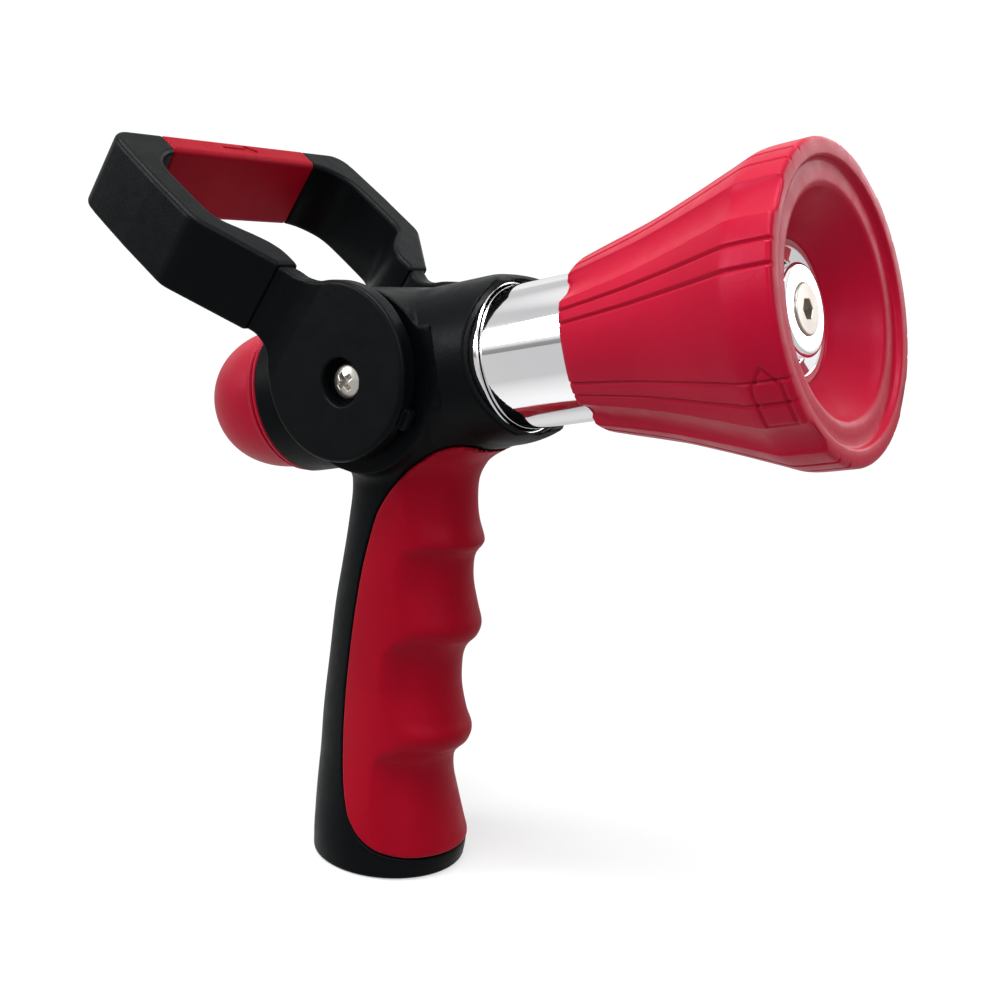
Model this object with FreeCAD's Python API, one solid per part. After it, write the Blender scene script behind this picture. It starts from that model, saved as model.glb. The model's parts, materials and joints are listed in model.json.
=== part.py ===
import FreeCAD, Part
import math
import os
from FreeCAD import Vector

# Pistol-grip fire hose nozzle with a quarter-turn ball valve worked by a bail.
# Lengths are millimetres. Two frames are used:
#   world frame  - origin at the centre of the hose mouth in the grip's base, +Z up, spray towards +X
#   barrel frame - origin where the bail's axis meets the barrel's axis, +X along the barrel
# The valve, barrel, bail and bell are drawn in the barrel frame and set into the world by set_in_world.

# ---------------------------------------------------------------- driving dimensions
BARREL_TILT = 15.0            # barrel rises this much above level, degrees
PIVOT_X = -5.6                # bail axis in the world frame
PIVOT_Z = 119.1

COVER_R = 19.6                # black cover around the barrel
CASTING_R = 17.4              # metal barrel inside the cover
REAR_FACE_X = -31.4           # rear end of the body
DRUM_R = 21.6                 # transverse valve drum
DRUM_HALF = 17.2
RECESS_R = 25.0               # round recess in each side for the bail disc
PIPE_R = 10.6                 # metal pipe down the grip
PIPE_BORE_R = 8.0
LIP_TIP_X = 37.5              # collar lip: pointed top and bottom, set back at the sides
LIP_SIDE_X = 33.0
LIP_BEVEL_X = 30.5

FAR = 40.0                    # reach of cutting shapes past everything they cut
LIP_TOP = COVER_R + 0.1       # height the lip's bevel starts from
LIP_BEVEL_DROP = LIP_TOP - CASTING_R + 0.3
DRUM_CAST_R = 19.0            # metal drum inside the cover's drum
CAST_SIDE_Y = DRUM_HALF - 1.0
CAST_FRONT_X = 28.0
CAST_FLOOR_Z = 13.0           # casting stops at the top of the coupling's flange
INLET_AIM_Z = 24.0            # height on the grip's axis that the inlet bore points at

REAR_BORE_R = 14.0            # bore for the rear plug
REAR_BORE_END_X = -21.0
BALL_R = 11.0
BALL_GAP = 0.1                # seats stand this far off the ball
PORT_R = 5.5
CHAMBER_R = 11.5
CHAMBER_END_X = 12.0
SEAT_R = 9.6                  # outer radius of the inlet seat
SEAT_BORE_R = 6.6
SEAT_NEAR = 6.0               # nearest and furthest faces of the seats from the ball's centre
SEAT_FRONT_X = 11.0
SEAT_REAR_X = -12.0
INLET_SEAT_FAR = 12.9
STEM_R = 5.0
STEM_FIT = 0.06               # running clearance of shafts in their bores
BLADE_HALF = 2.0              # flat blade of a stem in the ball's slot
BLADE_LENGTH_HALF = 4.6
SLOT_FLOOR_Y = 8.8
SLOT_SLACK = 0.02
JOURNAL_Y = (11.05, 16.25)
SQUARE_HALF = 3.2             # square drive at the stem's outer end
SQUARE_END_Y = 18.55
SQUARE_SLACK = 0.03
STEM_GROOVE_Y = (13.4, 15.0)
STEM_GROOVE_R = 4.0
STEM_SEAL_WIRE = 0.3
PIVOT_THREAD_R = 1.7

PLUG_NECK_R = 11.4            # rear plug: neck in the chamber, flange under the cap, boss in the cap
PLUG_NECK_END_X = -12.0
PLUG_FLANGE_R = 17.0
PLUG_FLANGE_X = -34.0
PLUG_BOSS_R = 9.0
PLUG_BOSS_X = -46.0
PLUG_GROOVE_X = (-19.0, -17.2)
PLUG_GROOVE_R = 9.7
PLUG_SEAL_WIRE = 0.8
PLUG_HOLLOW_R = 6.0

TUBE_R = 16.4                 # chrome spray sleeve
TUBE_BORE_R = 14.6
SLEEVE_REAR_X = 17.5
SLEEVE_SHOULDER_X = 94.0
SLEEVE_NOSE_X = 102.0
SLEEVE_NOSE_R = 14.7
THROAT_R = 10.6
SPINDLE_R = 14.52
SPINDLE_END_X = 56.0
SPINDLE_SEAL_XS = (26.0, 32.0)
SPINDLE_SEAL_WIRE = 0.9
SPINDLE_SEAL_CENTRE_R = 13.68
SPINDLE_GROOVE_R = 12.75
SPINDLE_GROOVE_HALF = 0.95
SPINDLE_FOOT_R = 13.0         # foot of the spindle in the casting
SPINDLE_FOOT_X = 11.0
SPINDLE_STEP_X = 15.0
SPINDLE_HOLLOW_R = 9.0
SPINDLE_WALL_X = 50.0         # end wall that carries the stem
SPINDLE_HOLES = 6
SPINDLE_HOLE_R = 2.7
SPINDLE_HOLE_RING_R = 8.6
KEY_SLOT_X = 38.0
KEY_SLOT_HALF = 1.6
KEY_SLOT_FLOOR = 13.1
POST_R = 4.0
POST_END_X = 95.0
POST_FLANGE_R = 6.2
POST_FLANGE_X = 47.0
POST_THREAD_X = 86.0
SCREW_SHANK_R = 3.0
SCREW_HEAD_R = 5.3
SCREW_HEAD_DEPTH = 2.6
SCREW_PROUD = 0.4
SOCKET_DEPTH = 2.2
SOCKET_CORNER_R = 2.31
FOLLOWER_X = (44.05, 47.95)
FOLLOWER_BORE_R = 14.62
FOLLOWER_R = 15.4
FOLLOWER_SLACK = 0.05
FOLLOWER_KEY_HALF = 1.5
STEM_HEAD_R = 9.6
STEM_HEAD_X = 104.5

BELL_REAR_X = 57.8
BELL_REAR_R = 19.4
BELL_SHOULDER_X = 101.5
BELL_SHOULDER_R = 31.7
BELL_FRONT_R = 32.5
BELL_FRONT_X = 112.8
BELL_MOUTH_R = 23.2
BELL_MOUTH_X = 111.2
BELL_STEP = 1.4               # step inside the front rim
BELL_STEP_R = 28.2
FLUTE_COUNT = 4
FLUTE_START = 51.0            # first flute, degrees round from the top towards -Y
FLUTE_DEPTH = 1.2
FLUTE_REAR_CURVE = 7.0        # radius of the channel at the bell's rear and shoulder
FLUTE_SHOULDER_CURVE = 9.5

DISC_R = 20.9                 # bail disc, set a little off the pivot
DISC_X = -1.9
DISC_Z = 2.6
DISC_FACE_Y = 23.3
DISC_BACK_Y = 18.3
HUB_R = 9.0                   # hub of the arm that reaches into the cover
HUB_BACK_Y = 16.75
WASHER_Y = (16.28, 16.72)     # thrust washer under the hub
WASHER_R = 8.8
WASHER_POCKET_R = 9.4
LUG_R = DISC_R + 1.6          # stop lug on the disc's rim
LUG_FACE_Y = 20.9
LUG_ANGLE = 38.0              # degrees below the barrel axis, towards the front
SINK_R = 5.6                  # counterbore for the pivot screw
SINK_FLOOR_Y = 19.6
PIVOT_HEAD_R = 4.0
PIVOT_HEAD_Y = 21.9
NECK_INSET = 0.4              # arm neck is this much narrower than the loop, each edge
BAIL_ANGLE = 133.4            # direction of the bail above the barrel axis, degrees
BAIL_HIGH = 12.5              # band edges measured square to that direction
BAIL_LOW = -7.0
SEAM_U = 27.8                 # where the arm enters the loop
LOOP_END_U = 80.3
LOOP_BAR = 6.5                # thickness of the loop's cross bar
GRIP_HALF = 24.6              # half length of the red bail grip

# Side faces of one half of the loop, and of the arm's end inside it, as (u, y) points.
LOOP_OUTER = [(70.0, 41.0), (60.0, 41.2), (44.2, 40.5), (SEAM_U, 27.4)]
LOOP_INNER = [(SEAM_U, 20.7), (33.0, 20.7), (37.4, 23.0), (42.6, 28.4), (45.6, 32.0), (48.5, 33.2),
              (66.0, 33.2), (69.5, 31.6)]
TENON_OUTER = [(SEAM_U, 26.7), (SEAM_U + 6, 31.0)]
TENON_INNER = [(SEAM_U + 6, 26.5), (SEAM_U, 21.2)]

COUPLING_R = 14.5             # brass coupling: skirt round the thread, neck above it
COUPLING_NECK_R = 13.4
COUPLING_TOP = 18.0
HOSE_THREAD_R = 12.3          # minor radius of a 3/4 inch female hose thread
HOSE_THREAD_LENGTH = 10.0
BASE_RING_TOP = 13.0          # the grip's end ring meets the cover here
HOSE_WASHER_R = 12.6
HOSE_WASHER_BORE_R = 8.5
WASHER_TOP = 11.8
SCREEN_R = 9.5
SCREEN_Z = (12.0, 12.6)
SCREEN_SEAT_Z = 13.5
SCREEN_HOLE_R = 0.95
SCREEN_PITCH = 2.6
BASE_R = 18.6
INSERT_THICKNESS = 1.8

# Pistol grip sections: height, rear reach, front reach, half width.
GRIP_SECTIONS = [
    (1.2, 19.1, 19.1, 19.0),
    (6.0, 19.5, 19.3, 19.0),
    (15.0, 20.4, 17.1, 17.4),
    (25.0, 20.7, 14.9, 15.9),
    (36.0, 20.8, 19.2, 15.5),
    (49.0, 19.7, 15.9, 15.2),
    (62.4, 19.0, 20.1, 14.9),
    (74.0, 17.4, 16.9, 14.5),
    (83.8, 16.3, 19.1, 14.0),
    (92.5, 15.6, 16.9, 13.6),
    (100.0, 18.2, 18.6, 13.8),
    (108.5, 24.0, 26.0, 15.5),
]

# Side outline of the red grip insert (x, z), from its lower front edge round the back to the top.
INSERT_OUTLINE = [
    (26.0, 5.6),
    (12.0, 5.4),
    (3.7, 8.3),
    (-3.0, 16.7),
    (-6.3, 32.0),
    (-6.4, 52.0),
    (-5.0, 72.0),
    (-1.2, 87.0),
    (4.5, 99.5),
    (12.5, 106.0),
    (28.0, 111.0),
]

AXIS_X = Vector(1, 0, 0)
AXIS_Y = Vector(0, 1, 0)
AXIS_Z = Vector(0, 0, 1)
ORIGIN = Vector(0, 0, 0)


# ---------------------------------------------------------------- helpers
def set_in_world(shape):
    """Turns a barrel-frame shape up by the barrel's tilt and moves it to the pivot."""
    placed = shape.copy()
    placed.rotate(ORIGIN, AXIS_Y, -BARREL_TILT)
    placed.translate(Vector(PIVOT_X, 0, PIVOT_Z))
    return placed


def set_in_barrel(shape):
    """The reverse of set_in_world."""
    placed = shape.copy()
    placed.translate(Vector(-PIVOT_X, 0, -PIVOT_Z))
    placed.rotate(ORIGIN, AXIS_Y, BARREL_TILT)
    return placed


def rod_x(radius, low, high):
    return Part.makeCylinder(radius, high - low, Vector(low, 0, 0), AXIS_X)


def ring_x(outer, inner, low, high):
    return rod_x(outer, low, high).cut(rod_x(inner, low - 1, high + 1))


def rod_y(radius, low, high, x=0.0, z=0.0):
    return Part.makeCylinder(radius, high - low, Vector(x, low, z), AXIS_Y)


def rod_z(radius, low, high, x=0.0, y=0.0):
    return Part.makeCylinder(radius, high - low, Vector(x, y, low), AXIS_Z)


def box(low, high):
    size = Vector(*high).sub(Vector(*low))
    return Part.makeBox(size.x, size.y, size.z, Vector(*low))


def polygon(points):
    vectors = [Vector(*point) for point in points]
    return Part.makePolygon(vectors + [vectors[0]])


def revolve_x(points):
    """Turns an outline of (x, radius) points about the barrel axis."""
    outline = polygon([(x, 0, radius) for x, radius in points])
    return Part.Face(outline).revolve(ORIGIN, AXIS_X, 360)


def o_ring(centre_r, minor_r, x):
    return Part.makeTorus(centre_r, minor_r, Vector(x, 0, 0), AXIS_X)


def mirror_y(shape):
    return shape.mirror(ORIGIN, AXIS_Y)


def both_sides(shape):
    return Part.makeCompound([shape, mirror_y(shape)])


def bail_axes():
    angle = math.radians(BAIL_ANGLE)
    along = Vector(math.cos(angle), 0, math.sin(angle))
    across = Vector(math.sin(angle), 0, -math.cos(angle))
    return along, across


def bail_point(u, y, v):
    along, across = bail_axes()
    return along * u + across * v + AXIS_Y * y


def band(points, low=BAIL_LOW, high=BAIL_HIGH):
    """Extrudes an outline of (u, y) points across the bail from one band edge to the other."""
    along, across = bail_axes()
    outline = Part.makePolygon([bail_point(u, y, low) for u, y in points + [points[0]]])
    return Part.Face(outline).extrude(across * (high - low))


def arc_points(centre, radius, start, end, steps):
    """Points on an arc, angles in degrees."""
    found = []
    for index in range(steps + 1):
        angle = math.radians(start + (end - start) * index / steps)
        found.append((centre[0] + radius * math.cos(angle), centre[1] + radius * math.sin(angle)))
    return found


def inlet_direction():
    """Unit vector from the ball towards the grip's bore, in the barrel frame."""
    target = Vector(-PIVOT_X, 0, INLET_AIM_Z - PIVOT_Z)
    turned = FreeCAD.Rotation(AXIS_Y, BARREL_TILT).multVec(target)
    return turned.normalize()


def rod_inlet(radius, low, high):
    direction = inlet_direction()
    return Part.makeCylinder(radius, high - low, direction * low, direction)


# ---------------------------------------------------------------- pistol grip outer form
def grip_form(inset=0.0):
    """Lofted grip in the world frame; inset shrinks every section."""
    rings = []
    for height, rear, front, half_width in GRIP_SECTIONS:
        reach = (rear + front) / 2 - inset
        width = half_width - inset
        centre = Vector((front - rear) / 2, 0, height)
        if reach >= width:
            ellipse = Part.Ellipse(centre + Vector(reach, 0, 0), centre + Vector(0, width, 0), centre)
        else:
            ellipse = Part.Ellipse(centre + Vector(0, width, 0), centre + Vector(-reach, 0, 0), centre)
        rings.append(Part.Wire(ellipse.toShape()))
    return Part.makeLoft(rings, True, False)


def base_form():
    """Rounded foot below the first grip section."""
    foot = Part.makeCone(BASE_R, GRIP_SECTIONS[0][2] - 0.1, GRIP_SECTIONS[0][0] + 0.3)
    return foot


def insert_cutter():
    outline = Part.BSplineCurve()
    outline.interpolate([Vector(x, -40, z) for x, z in INSERT_OUTLINE])
    first = Vector(INSERT_OUTLINE[0][0], -40, INSERT_OUTLINE[0][1])
    last = Vector(INSERT_OUTLINE[-1][0], -40, INSERT_OUTLINE[-1][1])
    front_low = Vector(60, -40, first.z)
    front_high = Vector(60, -40, last.z)
    edges = [
        outline.toShape(),
        Part.makeLine(last, front_high),
        Part.makeLine(front_high, front_low),
        Part.makeLine(front_low, first),
    ]
    return Part.Face(Part.Wire(edges)).extrude(Vector(0, 80, 0))


# ---------------------------------------------------------------- body and its cover
def body_form():
    """Outer form of the black cover round barrel and drum, barrel frame."""
    barrel = rod_x(COVER_R, REAR_FACE_X, LIP_TIP_X + 1)
    bevel_run = LIP_TIP_X - LIP_BEVEL_X
    bevel_r = (bevel_run ** 2 + LIP_BEVEL_DROP ** 2) / (2 * LIP_BEVEL_DROP)
    sweep = math.degrees(math.asin(bevel_run / bevel_r))
    upper = arc_points((LIP_BEVEL_X, LIP_TOP - bevel_r), bevel_r, 90, 90 - sweep, 6)
    lower = [(x, -z) for x, z in reversed(upper)]
    side = [(REAR_FACE_X - 1, LIP_TOP)] + upper + lower + [(REAR_FACE_X - 1, -LIP_TOP)]
    envelope = Part.Face(polygon([(x, -FAR, z) for x, z in side])).extrude(AXIS_Y * 2 * FAR)
    barrel = barrel.common(envelope)
    set_back = LIP_TIP_X - LIP_SIDE_X
    scoop_r = (CASTING_R ** 2 + set_back ** 2) / (2 * set_back)
    barrel = barrel.cut(rod_y(scoop_r, -FAR, FAR, x=LIP_SIDE_X + scoop_r))
    drum = rod_y(DRUM_R, -DRUM_HALF - 1, DRUM_HALF + 1)
    sides = both_sides(rod_y(RECESS_R, DRUM_HALF, FAR))
    return barrel.fuse(drum).cut(sides)


def casting_form():
    """Outer form of the metal valve body, barrel frame."""
    barrel = rod_x(CASTING_R, REAR_FACE_X, CAST_FRONT_X)
    drum = rod_y(DRUM_CAST_R, -CAST_SIDE_Y, CAST_SIDE_Y)
    pipe = rod_inlet(PIPE_R, 0.0, PIVOT_Z)
    floor = set_in_barrel(box((-FAR, -FAR, -FAR), (FAR, FAR, CAST_FLOOR_Z)))
    sides = both_sides(rod_y(RECESS_R + 1, CAST_SIDE_Y, FAR))
    return barrel.fuse(drum).fuse(pipe).cut(floor).cut(sides)


def coupling_outer():
    lower = rod_z(COUPLING_R, 0.0, CAST_FLOOR_Z)
    upper = rod_z(COUPLING_NECK_R, CAST_FLOOR_Z, COUPLING_TOP)
    return lower.fuse(upper)


def valve_body():
    body = casting_form()
    body = body.cut(rod_x(REAR_BORE_R, REAR_FACE_X - 1, REAR_BORE_END_X))
    body = body.cut(rod_x(CHAMBER_R, REAR_BORE_END_X - 1, CHAMBER_END_X))
    body = body.cut(rod_x(SPINDLE_FOOT_R, SPINDLE_FOOT_X, SPINDLE_STEP_X + 1))
    body = body.cut(sleeve_space())
    body = body.cut(rod_inlet(PIPE_BORE_R, 0.0, PIVOT_Z))
    body = body.cut(rod_inlet(SEAT_R, SEAT_NEAR, INLET_SEAT_FAR + 0.1))
    body = body.cut(rod_y(STEM_R + STEM_FIT, -FAR, FAR))
    return set_in_world(body)


def sleeve_space():
    """Room in the body for the spray sleeve's rear end."""
    return rod_x(TUBE_R + 0.3, SPINDLE_STEP_X, CAST_FRONT_X + 2)


def grip_insert():
    outer = grip_form().common(insert_cutter())
    outer = outer.cut(grip_form(INSERT_THICKNESS))
    outer = outer.cut(set_in_world(body_form()))
    return outer.cut(coupling_outer())


def whole_cover(insert):
    """Cover and end ring together, before they are parted."""
    cover = set_in_world(body_form()).fuse(grip_form()).fuse(base_form())
    inner = set_in_world(casting_form().fuse(rod_x(CASTING_R, CAST_FRONT_X - 8, LIP_TIP_X + FAR)))
    recess = set_in_world(both_sides(rod_y(WASHER_POCKET_R, CAST_SIDE_Y, FAR)))
    cover = cover.cut(inner).cut(recess)
    return cover.cut(coupling_outer()).cut(set_in_world(sleeve_space())).cut(insert)


def end_ring_space():
    return box((-FAR, -FAR, -1), (FAR, FAR, BASE_RING_TOP))


def collar_ring():
    bore = TUBE_R + 0.35
    front = LIP_SIDE_X + 2.3
    return revolve_x([(CAST_FRONT_X, bore), (CAST_FRONT_X, CASTING_R), (front - 0.4, CASTING_R),
                      (front, CASTING_R - 0.3), (front, bore)])


# ---------------------------------------------------------------- rear plug and red cap
def rear_plug():
    plug = rod_x(REAR_BORE_R, REAR_FACE_X, REAR_BORE_END_X)
    plug = plug.fuse(rod_x(PLUG_NECK_R, REAR_BORE_END_X, PLUG_NECK_END_X))
    plug = plug.fuse(rod_x(PLUG_FLANGE_R, PLUG_FLANGE_X, REAR_FACE_X))
    plug = plug.fuse(rod_x(PLUG_BOSS_R, PLUG_BOSS_X, PLUG_FLANGE_X))
    plug = plug.cut(ring_x(PLUG_NECK_R + 0.6, PLUG_GROOVE_R, *PLUG_GROOVE_X))
    return plug.cut(rod_x(PLUG_HOLLOW_R, REAR_BORE_END_X - 1, PLUG_NECK_END_X + 1))


def rear_plug_seal():
    return o_ring(PLUG_GROOVE_R + PLUG_SEAL_WIRE + 0.1, PLUG_SEAL_WIRE, sum(PLUG_GROOVE_X) / 2)


def rear_cap():
    depth = 23.0
    shoulder_x = -34.8
    dome_r = 17.9
    squareness = 2.5
    dome = []
    steps = 14
    for index in range(steps + 1):
        share = index / steps
        radius = dome_r * (1 - share ** squareness) ** (1 / squareness)
        dome.append((shoulder_x - depth * share, radius))
    bead_r = 19.5
    groove_r = 18.9
    rim = [(REAR_FACE_X, 0.0), (REAR_FACE_X, bead_r), (-32.4, bead_r), (-32.7, groove_r), (-33.2, groove_r),
           (-33.6, bead_r - 0.3)]
    cap = revolve_x(rim + dome)
    return cap.cut(rod_x(PLUG_FLANGE_R, PLUG_FLANGE_X, REAR_FACE_X + 1)).cut(
        rod_x(PLUG_BOSS_R, PLUG_BOSS_X, PLUG_FLANGE_X + 1))


# ---------------------------------------------------------------- valve internals
def ball_cut(shape):
    return shape.cut(Part.makeSphere(BALL_R + BALL_GAP))


def seat(low, high):
    return ball_cut(ring_x(CHAMBER_R, SEAT_BORE_R, low, high))


def inlet_seat():
    ring = rod_inlet(SEAT_R, SEAT_NEAR, INLET_SEAT_FAR).cut(rod_inlet(SEAT_BORE_R, 0.0, FAR))
    return ball_cut(ring.cut(rod_x(CHAMBER_R, -FAR, FAR)))


def valve_ball():
    ball = Part.makeSphere(BALL_R)
    ball = ball.cut(rod_x(PORT_R, 0.0, FAR)).cut(rod_inlet(PORT_R, 0.0, FAR))
    ball = ball.cut(Part.makeSphere(PORT_R))
    half = BLADE_HALF + SLOT_SLACK
    slot = box((-half, SLOT_FLOOR_Y, -STEM_R), (half, BALL_R + 1, STEM_R))
    return ball.cut(both_sides(slot))


def ball_stem():
    """Stem on the +Y side: blade in the ball, round journal, square drive."""
    blade = box((-BLADE_HALF, SLOT_FLOOR_Y + 0.05, -BLADE_LENGTH_HALF),
                (BLADE_HALF, JOURNAL_Y[0] + 0.15, BLADE_LENGTH_HALF))
    blade = blade.common(rod_y(STEM_R, SLOT_FLOOR_Y - 1, JOURNAL_Y[0] + 1))
    journal = rod_y(STEM_R, *JOURNAL_Y)
    drive = box((-SQUARE_HALF, JOURNAL_Y[1], -SQUARE_HALF), (SQUARE_HALF, SQUARE_END_Y, SQUARE_HALF))
    stem = blade.fuse(journal).fuse(drive)
    groove = rod_y(STEM_R + 1, *STEM_GROOVE_Y).cut(rod_y(STEM_GROOVE_R, 0.0, FAR))
    thread = rod_y(PIVOT_THREAD_R, STEM_GROOVE_Y[0] - 0.4, FAR)
    return stem.cut(groove).cut(thread)


def stem_seal():
    centre = Vector(0, sum(STEM_GROOVE_Y) / 2, 0)
    return Part.makeTorus(STEM_R + 0.02 - STEM_SEAL_WIRE, STEM_SEAL_WIRE, centre, AXIS_Y)


# ---------------------------------------------------------------- outlet spindle, sleeve and bell
def spindle():
    body = rod_x(SPINDLE_FOOT_R, SPINDLE_FOOT_X, SPINDLE_STEP_X)
    body = body.fuse(rod_x(SPINDLE_R, SPINDLE_STEP_X, SPINDLE_END_X))
    body = body.cut(rod_x(SPINDLE_HOLLOW_R, SPINDLE_STEP_X - 1, SPINDLE_WALL_X))
    body = body.cut(rod_x(SEAT_BORE_R, SPINDLE_FOOT_X - 1, SPINDLE_STEP_X))
    for x in SPINDLE_SEAL_XS:
        low = x - SPINDLE_GROOVE_HALF
        high = x + SPINDLE_GROOVE_HALF
        body = body.cut(ring_x(SPINDLE_R + 1, SPINDLE_GROOVE_R, low, high))
    for index in range(SPINDLE_HOLES):
        angle = 2 * math.pi * index / SPINDLE_HOLES
        hole = rod_x(SPINDLE_HOLE_R, SPINDLE_WALL_X - 1, SPINDLE_END_X + 1)
        hole.translate(Vector(0, math.cos(angle), math.sin(angle)) * SPINDLE_HOLE_RING_R)
        body = body.cut(hole)
    body = body.cut(rod_x(POST_R, SPINDLE_WALL_X - 1, SPINDLE_END_X + 1))
    key_slot = box((KEY_SLOT_X, -KEY_SLOT_HALF, KEY_SLOT_FLOOR),
                   (SPINDLE_END_X + 1, KEY_SLOT_HALF, SPINDLE_R + 1))
    return body.cut(key_slot)


def spindle_rings():
    return Part.makeCompound([o_ring(SPINDLE_SEAL_CENTRE_R, SPINDLE_SEAL_WIRE, x) for x in SPINDLE_SEAL_XS])


def stem_post():
    post = rod_x(POST_R, SPINDLE_WALL_X - 1.5, POST_END_X)
    post = post.fuse(rod_x(POST_FLANGE_R, POST_FLANGE_X, SPINDLE_WALL_X))
    return post.cut(rod_x(SCREW_SHANK_R, POST_THREAD_X, POST_END_X + 1))


def stem_head():
    neck_r = 6.4
    chamfer = 0.6
    head = revolve_x([(POST_END_X, 0), (POST_END_X, POST_R + chamfer), (POST_END_X + 2, neck_r),
                      (STEM_HEAD_X - 2.9, STEM_HEAD_R), (STEM_HEAD_X - chamfer, STEM_HEAD_R),
                      (STEM_HEAD_X, STEM_HEAD_R - chamfer), (STEM_HEAD_X, 0)])
    return head.cut(rod_x(SCREW_SHANK_R, POST_END_X - 1, STEM_HEAD_X + 1)).cut(screw_head(0.0))


def screw_head(proud):
    """Countersunk head, standing proud of the stem head's face."""
    cone_start = Vector(STEM_HEAD_X - SCREW_HEAD_DEPTH, 0, 0)
    cone = Part.makeCone(SCREW_SHANK_R, SCREW_HEAD_R, SCREW_HEAD_DEPTH, cone_start, AXIS_X)
    return cone.fuse(rod_x(SCREW_HEAD_R, STEM_HEAD_X, STEM_HEAD_X + 0.05 + proud))


def stem_screw():
    screw = rod_x(SCREW_SHANK_R, POST_THREAD_X + 0.2, STEM_HEAD_X).fuse(screw_head(SCREW_PROUD))
    floor_x = STEM_HEAD_X - SOCKET_DEPTH
    corners = []
    for index in range(6):
        angle = math.pi / 3 * index
        corners.append((floor_x, SOCKET_CORNER_R * math.cos(angle), SOCKET_CORNER_R * math.sin(angle)))
    socket = Part.Face(polygon(corners)).extrude(AXIS_X * 2 * SOCKET_DEPTH)
    return screw.cut(socket)


def follower_ring():
    """Split ring that slides with the sleeve; its key runs in the spindle's slot."""
    low, high = FOLLOWER_X
    ring = ring_x(FOLLOWER_R, FOLLOWER_BORE_R, low, high)
    key = box((low, -FOLLOWER_KEY_HALF, KEY_SLOT_FLOOR + 0.1), (high, FOLLOWER_KEY_HALF, FOLLOWER_R - 0.4))
    gap = box((low - 1, -1, -FOLLOWER_R - 1), (high + 1, 1, 1 - FOLLOWER_BORE_R))
    return ring.fuse(key).cut(gap)


def spray_sleeve():
    outer = rod_x(TUBE_R, SLEEVE_REAR_X, SLEEVE_SHOULDER_X).fuse(
        rod_x(SLEEVE_NOSE_R, SLEEVE_SHOULDER_X, SLEEVE_NOSE_X))
    throat_start = 97.5
    throat_end = 100.0
    bell_r = 12.8
    bore = revolve_x([(SLEEVE_REAR_X - 1, 0), (SLEEVE_REAR_X - 1, TUBE_BORE_R), (88.0, TUBE_BORE_R),
                      (throat_start, THROAT_R), (throat_end, THROAT_R), (SLEEVE_NOSE_X, bell_r),
                      (SLEEVE_NOSE_X + 1, bell_r), (SLEEVE_NOSE_X + 1, 0)])
    follower_groove = ring_x(FOLLOWER_R + 0.06, TUBE_BORE_R - 0.6, FOLLOWER_X[0] - FOLLOWER_SLACK,
                             FOLLOWER_X[1] + FOLLOWER_SLACK)
    return outer.cut(bore).cut(follower_groove)


def flute_cutter(index):
    """Tapered channel down the bell's slope."""
    low = Vector(BELL_REAR_X - 2, 0, BELL_REAR_R + FLUTE_REAR_CURVE - FLUTE_DEPTH)
    high = Vector(BELL_SHOULDER_X + 1, 0, BELL_SHOULDER_R + FLUTE_SHOULDER_CURVE - FLUTE_DEPTH)
    run = high.sub(low)
    cutter = Part.makeCone(FLUTE_REAR_CURVE, FLUTE_SHOULDER_CURVE, run.Length, low, run)
    cutter.rotate(ORIGIN, AXIS_X, FLUTE_START + 360 / FLUTE_COUNT * index)
    return cutter


def front_flat(index):
    """Flat facet that carries a flute across the bell's front band."""
    face_r = BELL_FRONT_R - FLUTE_DEPTH + 0.1
    cutter = box((BELL_SHOULDER_X - 1, -FAR / 2, face_r), (BELL_FRONT_X + 1, FAR / 2, face_r + 10))
    cutter.rotate(ORIGIN, AXIS_X, FLUTE_START + 360 / FLUTE_COUNT * index)
    return cutter


def bumper():
    outline = [
        (BELL_REAR_X, TUBE_R),
        (BELL_REAR_X, BELL_REAR_R - 0.6),
        (BELL_REAR_X + 0.8, BELL_REAR_R),
        (71.0, 22.5),
        (83.0, 25.8),
        (BELL_SHOULDER_X - 2, BELL_SHOULDER_R - 0.6),
        (BELL_SHOULDER_X + 1, 32.2),
        (106.0, BELL_FRONT_R),
        (BELL_FRONT_X - 0.8, BELL_FRONT_R),
        (BELL_FRONT_X, BELL_FRONT_R - 0.8),
        (BELL_FRONT_X, BELL_STEP_R + 0.4),
        (BELL_FRONT_X - BELL_STEP, BELL_STEP_R),
        (BELL_FRONT_X - BELL_STEP, BELL_MOUTH_R + 0.8),
        (BELL_MOUTH_X, BELL_MOUTH_R),
        (108.0, 20.6),
        (SLEEVE_NOSE_X, SLEEVE_NOSE_R),
        (SLEEVE_SHOULDER_X, SLEEVE_NOSE_R),
        (SLEEVE_SHOULDER_X, TUBE_R),
    ]
    bell = revolve_x(outline)
    for index in range(FLUTE_COUNT):
        bell = bell.cut(flute_cutter(index)).cut(front_flat(index))
    return bell


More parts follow.
